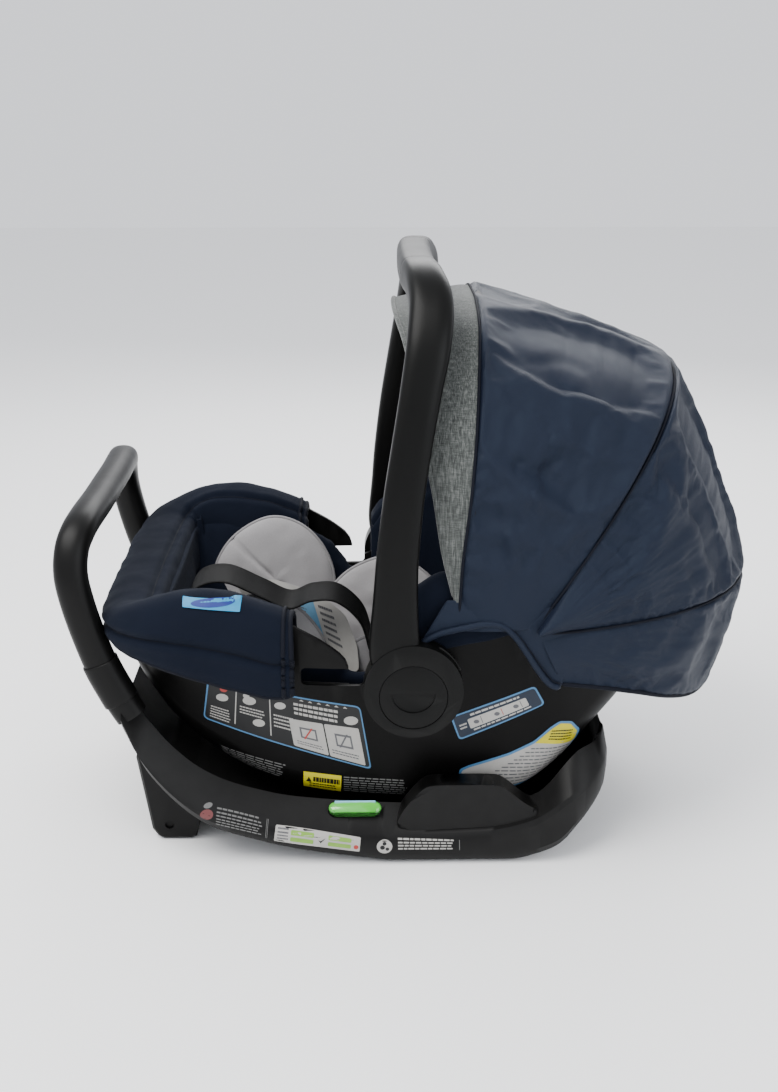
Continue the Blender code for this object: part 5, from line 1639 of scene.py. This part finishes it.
def at(quad, u, v):
    """A point of a four-cornered label: u runs left to right, v from the top down."""
    tl, tr, br, bl = (Vector(p) for p in quad)
    return tuple((tl * (1 - u) + tr * u) * (1 - v) + (bl * (1 - u) + br * u) * v)


def area_of(quad, u0, v0, u1, v1):
    return [at(quad, u0, v0), at(quad, u1, v0), at(quad, u1, v1), at(quad, u0, v1)]


def print_lines(quad, rows, u0, v0, u1, v1, seed, thick=0.42, ragged=0.15):
    """Blank printed lines: short bars in rows, which stand in for wording."""
    made = []
    pitch = (v1 - v0) / rows
    for row in range(rows):
        u = u0
        end = u1 - ragged * (u1 - u0) * (0.5 + 0.5 * noise.noise(Vector((row * 3.3, seed, 0.5))))
        k = 0
        while u < end - 0.01:
            word = (u1 - u0) * (0.09 + 0.06 * noise.noise(Vector((k * 2.7, row * 1.9, seed + 0.3))))
            stop = min(u + word, end)
            top = v0 + row * pitch
            made.append(area_of(quad, u, top, stop, top + pitch * thick))
            u = stop + (u1 - u0) * 0.018
            k += 1
    return made


def wording(ink, lift, *lines):
    return [(bar, ink, lift) for bar in print_lines(*lines)]


def label(name, target, body, patches, mats):
    """One printed label on the near side: each patch is (outline, ink, height above the surface)."""
    tree = bvhtree.BVHTree.FromObject(target, bpy.context.evaluated_depsgraph_get())
    bm = bmesh.new()
    inks = sorted({ink for _, ink, _ in patches})
    for outline, ink, lift in patches:
        last = 0.19

        def place(x, z):
            nonlocal last
            hit = tree.ray_cast(Vector((x, -0.4, z)), Vector((0.0, 1.0, 0.0)))[0]
            last = abs(hit.y) if hit else last
            return (x, -(last + lift), z)

        outline = divided([Vector(p) for p in outline], PATCH_PITCH)
        lay_patch(bm, outline, PATCH_PITCH, PATCH_PITCH * 0.35, place, inks.index(ink))
    show(from_bmesh(name, bm, *(mats["ink_" + ink] for ink in inks), smooth=40, recalculate=False), body)


def make_labels(mats, shell, housing, cover):
    quad = [(-0.2150, 0.1990), (-0.0600, 0.1735), (-0.0490, 0.0945), (-0.2235, 0.1500)]
    grow = [(-0.2165, 0.2010), (-0.0588, 0.1752), (-0.0473, 0.0922), (-0.2252, 0.1485)]
    light = [(-0.1335, 0.1575), (-0.0608, 0.1468), (-0.0535, 0.0975), (-0.1290, 0.1225)]
    patches = [(round_outline(grow, 0.006), "blue", 0.00020), (round_outline(quad, 0.005), "black", 0.00032)]
    for u0, u1 in ((0.0, 0.485), (0.505, 1.0)):
        patches.append((round_outline(area_of(light, u0, 0.0, u1, 1.0), 0.002), "paper", 0.00044))
    patches += [(area_of(quad, u, 0.08, u + 0.007, 0.90), "paper", 0.00044) for u in (0.18, 0.40)]
    for u, v, r in (
        (0.095, 0.34, 0.0065), (0.27, 0.26, 0.0070), (0.33, 0.70, 0.0065), (0.47, 0.22, 0.0060),
        (0.93, 0.24, 0.0075),
    ):
        patches.append((circle(at(quad, u, v), r, 18, 0.75), "paper", 0.00044))
    for u, v, r in ((0.10, 0.12, 0.0040), (0.25, 0.16, 0.0034)):
        patches.append((circle(at(quad, u, v), r, 14), "red" if u < 0.2 else "paper", 0.00050))
    patches += wording("paper", 0.00044, quad, 5, 0.03, 0.62, 0.16, 0.96, 1.0)
    patches += wording("paper", 0.00044, quad, 3, 0.21, 0.42, 0.38, 0.62, 2.0)
    patches += wording("paper", 0.00044, quad, 4, 0.425, 0.42, 0.56, 0.72, 3.0)
    patches += wording("paper", 0.00044, quad, 3, 0.56, 0.10, 0.86, 0.36, 4.0, 0.55, 0.1)
    for k in range(6):
        u = 0.60 + 0.058 * k
        arrow = [at(quad, u, 0.045), at(quad, u + 0.03, 0.045), at(quad, u + 0.015, 0.015)]
        patches.append((arrow, "paper", 0.00044))
    for u, v in ((0.24, 0.42), (0.74, 0.42)):
        patches.append((area_of(light, u - 0.11, v - 0.18, u + 0.13, v + 0.20), "grey", 0.00052))
        patches.append((area_of(light, u - 0.085, v - 0.12, u + 0.105, v + 0.14), "paper", 0.00058))
        corners = ((0.06, -0.2), (0.085, -0.2), (-0.05, 0.22), (-0.075, 0.22))
        bar = [at(light, u + du, v + dv) for du, dv in corners]
        patches.append((bar, "red" if u < 0.5 else "grey", 0.00064))
    patches += wording("grey", 0.00052, light, 2, 0.06, 0.76, 0.46, 0.92, 5.0)
    patches += wording("grey", 0.00052, light, 2, 0.55, 0.76, 0.95, 0.92, 6.0)
    label("belt_guide_label", shell, "carrier", patches, mats)

    yellow = [(-0.1200, 0.0885), (-0.0795, 0.0835), (-0.0805, 0.0595), (-0.1210, 0.0645)]
    patches = [(yellow, "yellow", 0.0003)]
    patches += wording("black", 0.00042, yellow, 1, 0.26, 0.24, 0.96, 0.62, 7.0, 0.75, 0.0)
    patches += wording("black", 0.00042, yellow, 2, 0.16, 0.62, 0.90, 0.94, 8.0, 0.5, 0.1)
    patches.append(([at(yellow, 0.07, 0.58), at(yellow, 0.145, 0.26), at(yellow, 0.22, 0.58)], "black", 0.00042))
    left = [(-0.2080, 0.1130), (-0.1225, 0.0920), (-0.1235, 0.0680), (-0.2080, 0.0960)]
    patches += wording("dim", 0.0003, left, 6, 0.0, 0.0, 1.0, 1.0, 9.0, 0.4, 0.5)
    right = [(-0.0770, 0.0825), (-0.0040, 0.0780), (-0.0040, 0.0540), (-0.0775, 0.0595)]
    patches += wording("dim", 0.0003, right, 7, 0.0, 0.0, 1.0, 1.0, 10.0, 0.42, 0.2)
    label("fall_hazard_label", shell, "carrier", patches, mats)

    strip = [(0.0375, 0.1590), (0.1215, 0.1915), (0.1320, 0.1710), (0.0460, 0.1325)]
    grow = [(0.0350, 0.1600), (0.1222, 0.1940), (0.1345, 0.1705), (0.0452, 0.1300)]
    patches = [(round_outline(grow, 0.005), "blue", 0.00020), (round_outline(strip, 0.0042), "night", 0.00032)]
    window = area_of(strip, 0.15, 0.30, 0.86, 0.76)
    patches.append((round_outline(window, 0.0018), "paper", 0.00044))
    for u in (0.30, 0.55, 0.78):
        patches.append((area_of(strip, u, 0.36, u + 0.008, 0.70), "red" if u == 0.55 else "grey", 0.00054))
        patches.append((circle(at(strip, u - 0.06, 0.54), 0.0030, 14, 0.8), "grey", 0.00054))
    patches += wording("paper", 0.00044, strip, 1, 0.20, 0.10, 0.80, 0.24, 11.0, 0.7, 0.0)
    patches += wording("paper", 0.00044, strip, 1, 0.18, 0.82, 0.88, 0.94, 12.0, 0.6, 0.0)
    patches += wording("paper", 0.00044, strip, 2, 0.04, 0.42, 0.13, 0.72, 13.0, 0.5, 0.0)
    label("belt_route_label", shell, "carrier", patches, mats)

    shape = [
        (0.0440, 0.0700), (0.0465, 0.0925), (0.0560, 0.0975), (0.0984, 0.1120), (0.1249, 0.1250), (0.1420, 0.1405),
        (0.1520, 0.1465), (0.1660, 0.1435), (0.1760, 0.1300), (0.1745, 0.1170), (0.1570, 0.0810), (0.1480, 0.0735),
        (0.1100, 0.0645),
    ]
    inner = [
        (0.0470, 0.0715), (0.0488, 0.0905), (0.0575, 0.0950), (0.0995, 0.1092), (0.1262, 0.1222), (0.1435, 0.1378),
        (0.1530, 0.1435), (0.1645, 0.1408), (0.1728, 0.1290), (0.1715, 0.1172), (0.1545, 0.0830), (0.1470, 0.0765),
        (0.1102, 0.0676),
    ]
    patches = [
        (round_outline(shape, 0.003, 4), "blue", 0.00020), (round_outline(inner, 0.003, 4), "paper", 0.00032),
    ]
    patches.append((round_outline(inner[4:10] + [(0.1700, 0.1145)], 0.0015, 4), "yellow", 0.00044))
    heading = [(0.1440, 0.1360), (0.1690, 0.1330), (0.1660, 0.1185), (0.1400, 0.1230)]
    patches += wording("black", 0.00056, heading, 4, 0.0, 0.0, 1.0, 1.0, 14.0, 0.5, 0.1)
    for row in range(11):
        v = row / 10
        x0 = 0.0500 + 0.0720 * (1 - v) ** 0.8
        x1 = 0.1660 - 0.0130 * v - 0.010 * max(0.0, v - 0.7) * 8
        z0 = 0.1150 - 0.0430 * v
        line = [(x0, z0 + 0.0012), (x1, z0 - 0.0028), (x1, z0 - 0.0046), (x0, z0 - 0.0006)]
        patches += wording("grey", 0.00044, line, 1, 0.0, 0.0, 1.0, 1.0, 15.0 + row, 0.8, 0.05)
    label("use_label", shell, "carrier", patches, mats)

    white = [(-0.1480, 0.0480), (-0.0590, 0.0330), (-0.0605, 0.0165), (-0.1505, 0.0300)]
    patches = [(round_outline(white, 0.0015), "paper", 0.00030)]
    for u, v in ((0.32, 0.30), (0.32, 0.72), (0.76, 0.30), (0.76, 0.72)):
        box = area_of(white, u - 0.135, v - 0.14, u + 0.135, v + 0.14)
        patches.append((round_outline(box, 0.0015), "green", 0.00042))
    patches += wording("grey", 0.00042, white, 4, 0.03, 0.10, 0.16, 0.90, 30.0, 0.45, 0.0)
    tick = [at(white, u, v) for u, v in ((0.51, 0.55), (0.54, 0.75), (0.60, 0.30), (0.54, 0.60))]
    patches.append((tick, "black", 0.00042))
    patches.append((circle(at(white, 0.955, 0.70), 0.0026, 16), "red", 0.00042))
    note = [(-0.2240, 0.0745), (-0.1550, 0.0545), (-0.1570, 0.0330), (-0.2260, 0.0520)]
    patches.append((circle(at(note, 0.075, 0.50), 0.0068, 20, 0.8), "dull_red", 0.00030))
    patches.append((circle(at(note, 0.085, 0.12), 0.0045, 16, 0.5), "dim", 0.00030))
    patches += wording("dim", 0.00030, note, 6, 0.22, 0.12, 0.93, 0.95, 31.0, 0.42, 0.15)
    patches += [(area_of(note, u, 0.10, u + 0.007, 0.98), "dim", 0.00030) for u in (0.965, 0.985)]
    disc_centre = (-0.0340, 0.0225)
    patches.append((circle(disc_centre, 0.0082, 28), "paper", 0.00030))
    for dx, dz, r in ((0.0, 0.0035, 0.0022), (-0.0022, -0.0012, 0.0026), (0.0030, -0.0030, 0.0020)):
        patches.append((circle((disc_centre[0] + dx, disc_centre[1] + dz), r, 14), "black", 0.00042))
    words = [(-0.0200, 0.0320), (0.0420, 0.0300), (0.0425, 0.0170), (-0.0195, 0.0170)]
    patches += wording("paper", 0.00030, words, 4, 0.0, 0.0, 1.0, 1.0, 32.0, 0.5, 0.12)
    patches.append((area_of(words, 1.04, 0.0, 1.052, 0.95), "dim", 0.00030))
    label("base_fit_label", housing, "base", patches, mats)

    tag = [(-0.2335, 0.3045), (-0.1755, 0.3010), (-0.1768, 0.2905), (-0.2330, 0.2965)]
    oval = circle(at(tag, 0.52, 0.36), 0.0215, 32, 0.17)
    patches = [(round_outline(tag, 0.001), "sky", 0.0016), (oval, "royal", 0.0018)]
    label("side_tag", cover, "carrier", patches, mats)


def make_card(mats):
    """A loose card of instructions that lies in the seat, left blank."""
    shape = [
        (-0.192, 0.285), (-0.150, 0.283), (-0.100, 0.268), (-0.074, 0.248), (-0.062, 0.218), (-0.060, 0.194),
        (-0.070, 0.186), (-0.100, 0.200), (-0.135, 0.222), (-0.176, 0.256),
    ]
    quad = [(-0.188, 0.283), (-0.080, 0.257), (-0.064, 0.196), (-0.168, 0.250)]
    inks = ["grey", "paper", "sky_pale", "white_print"]
    patches = [
        (round_outline(shape, 0.004, 5), "paper", 0.0),
        (area_of(quad, 0.10, 0.06, 0.72, 0.88), "sky_pale", 0.0003),
        *wording("grey", 0.0006, quad, 5, 0.14, 0.10, 0.66, 0.42, 40.0, 0.4, 0.2),
        (circle(at(quad, 0.42, 0.66), 0.0105, 24, 0.75), "white_print", 0.0006),
        (circle(at(quad, 0.52, 0.78), 0.0080, 24, 0.75), "white_print", 0.0007),
        *wording("grey", 0.0006, quad, 6, 0.76, 0.12, 0.92, 0.85, 41.0, 0.4, 0.2),
    ]
    bm = bmesh.new()
    for outline, ink, lift in patches:
        def place(x, z):
            bend = 0.006 * math.sin((x + 0.17) * 38)
            return (x, -0.104 - 0.30 * (0.27 - z) + bend + lift * -0.4, z + lift * 0.9)

        lay_patch(bm, [Vector(p) for p in outline], CARD_PITCH, 0.002, place, inks.index(ink))
    card = from_bmesh("info_card", bm, *(mats["ink_" + ink] for ink in inks), smooth=40, recalculate=False)
    solid = card.modifiers.new("thickness", "SOLIDIFY")
    solid.thickness = 0.0005
    solid.offset = -1.0
    bake(card)
    shade(card, 40)
    show(card, "carrier")


# --- the frame's own nodes -----------------------------------------------------------------

def dress_frame(mats):
    """Gives the nodes that still show their own finish and softened edges."""
    finishes = {
        "base_housing": "base", "base_bottom_pan": "base", "anti_rebound_bar": "base", "recline_foot": "base",
        "latch_bar": "metal", "latch_pawl": "metal", "carrier_shell": "shell", "foam_liner": "foam",
        "seat_pad": "navy", "rim_cover": "navy", "body_insert": "grey", "head_support": "grey",
        "shoulder_strap": "webbing", "crotch_strap": "webbing", "adjuster_strap": "webbing",
        "buckle_button": "red", "buckle": "handle", "chest_clip": "handle", "pivot_pin": "metal",
        "canopy_mount": "handle", "canopy_bow": "handle", "handle": "handle", "button_spring": "metal",
        "release_handle": "handle", "canopy_panel": "canopy", "canopy_skirt": "canopy", "canopy_visor": "heather",
        "level_window": "lens",
    }
    for name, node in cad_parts.items():
        key = max((k for k in finishes if name.startswith(k)), key=len, default="base_housing")
        node.data.materials.clear()
        node.data.materials.append(mats[finishes[key]])
        if key in ("recline_foot", "base_bottom_pan", "buckle", "chest_clip", "release_handle", "latch_pawl"):
            bevel = node.modifiers.new("round", "BEVEL")
            bevel.width = 0.0012
            bevel.segments = 2
            bevel.limit_method = "ANGLE"
            bevel.angle_limit = math.radians(35)


# --- everything together -------------------------------------------------------------------

make_camera()
make_stage()
materials = make_materials()
housing = make_base(materials)
shell = make_shell(materials)
make_handle(materials)
make_canopy(materials)
cover = make_rim_foot(materials)
make_rim_head(materials)
make_side_flap(materials)
make_inserts(materials)
make_seat(materials)
make_straps(materials)
make_labels(materials, shell, housing, cover)
make_card(materials)
dress_frame(materials)
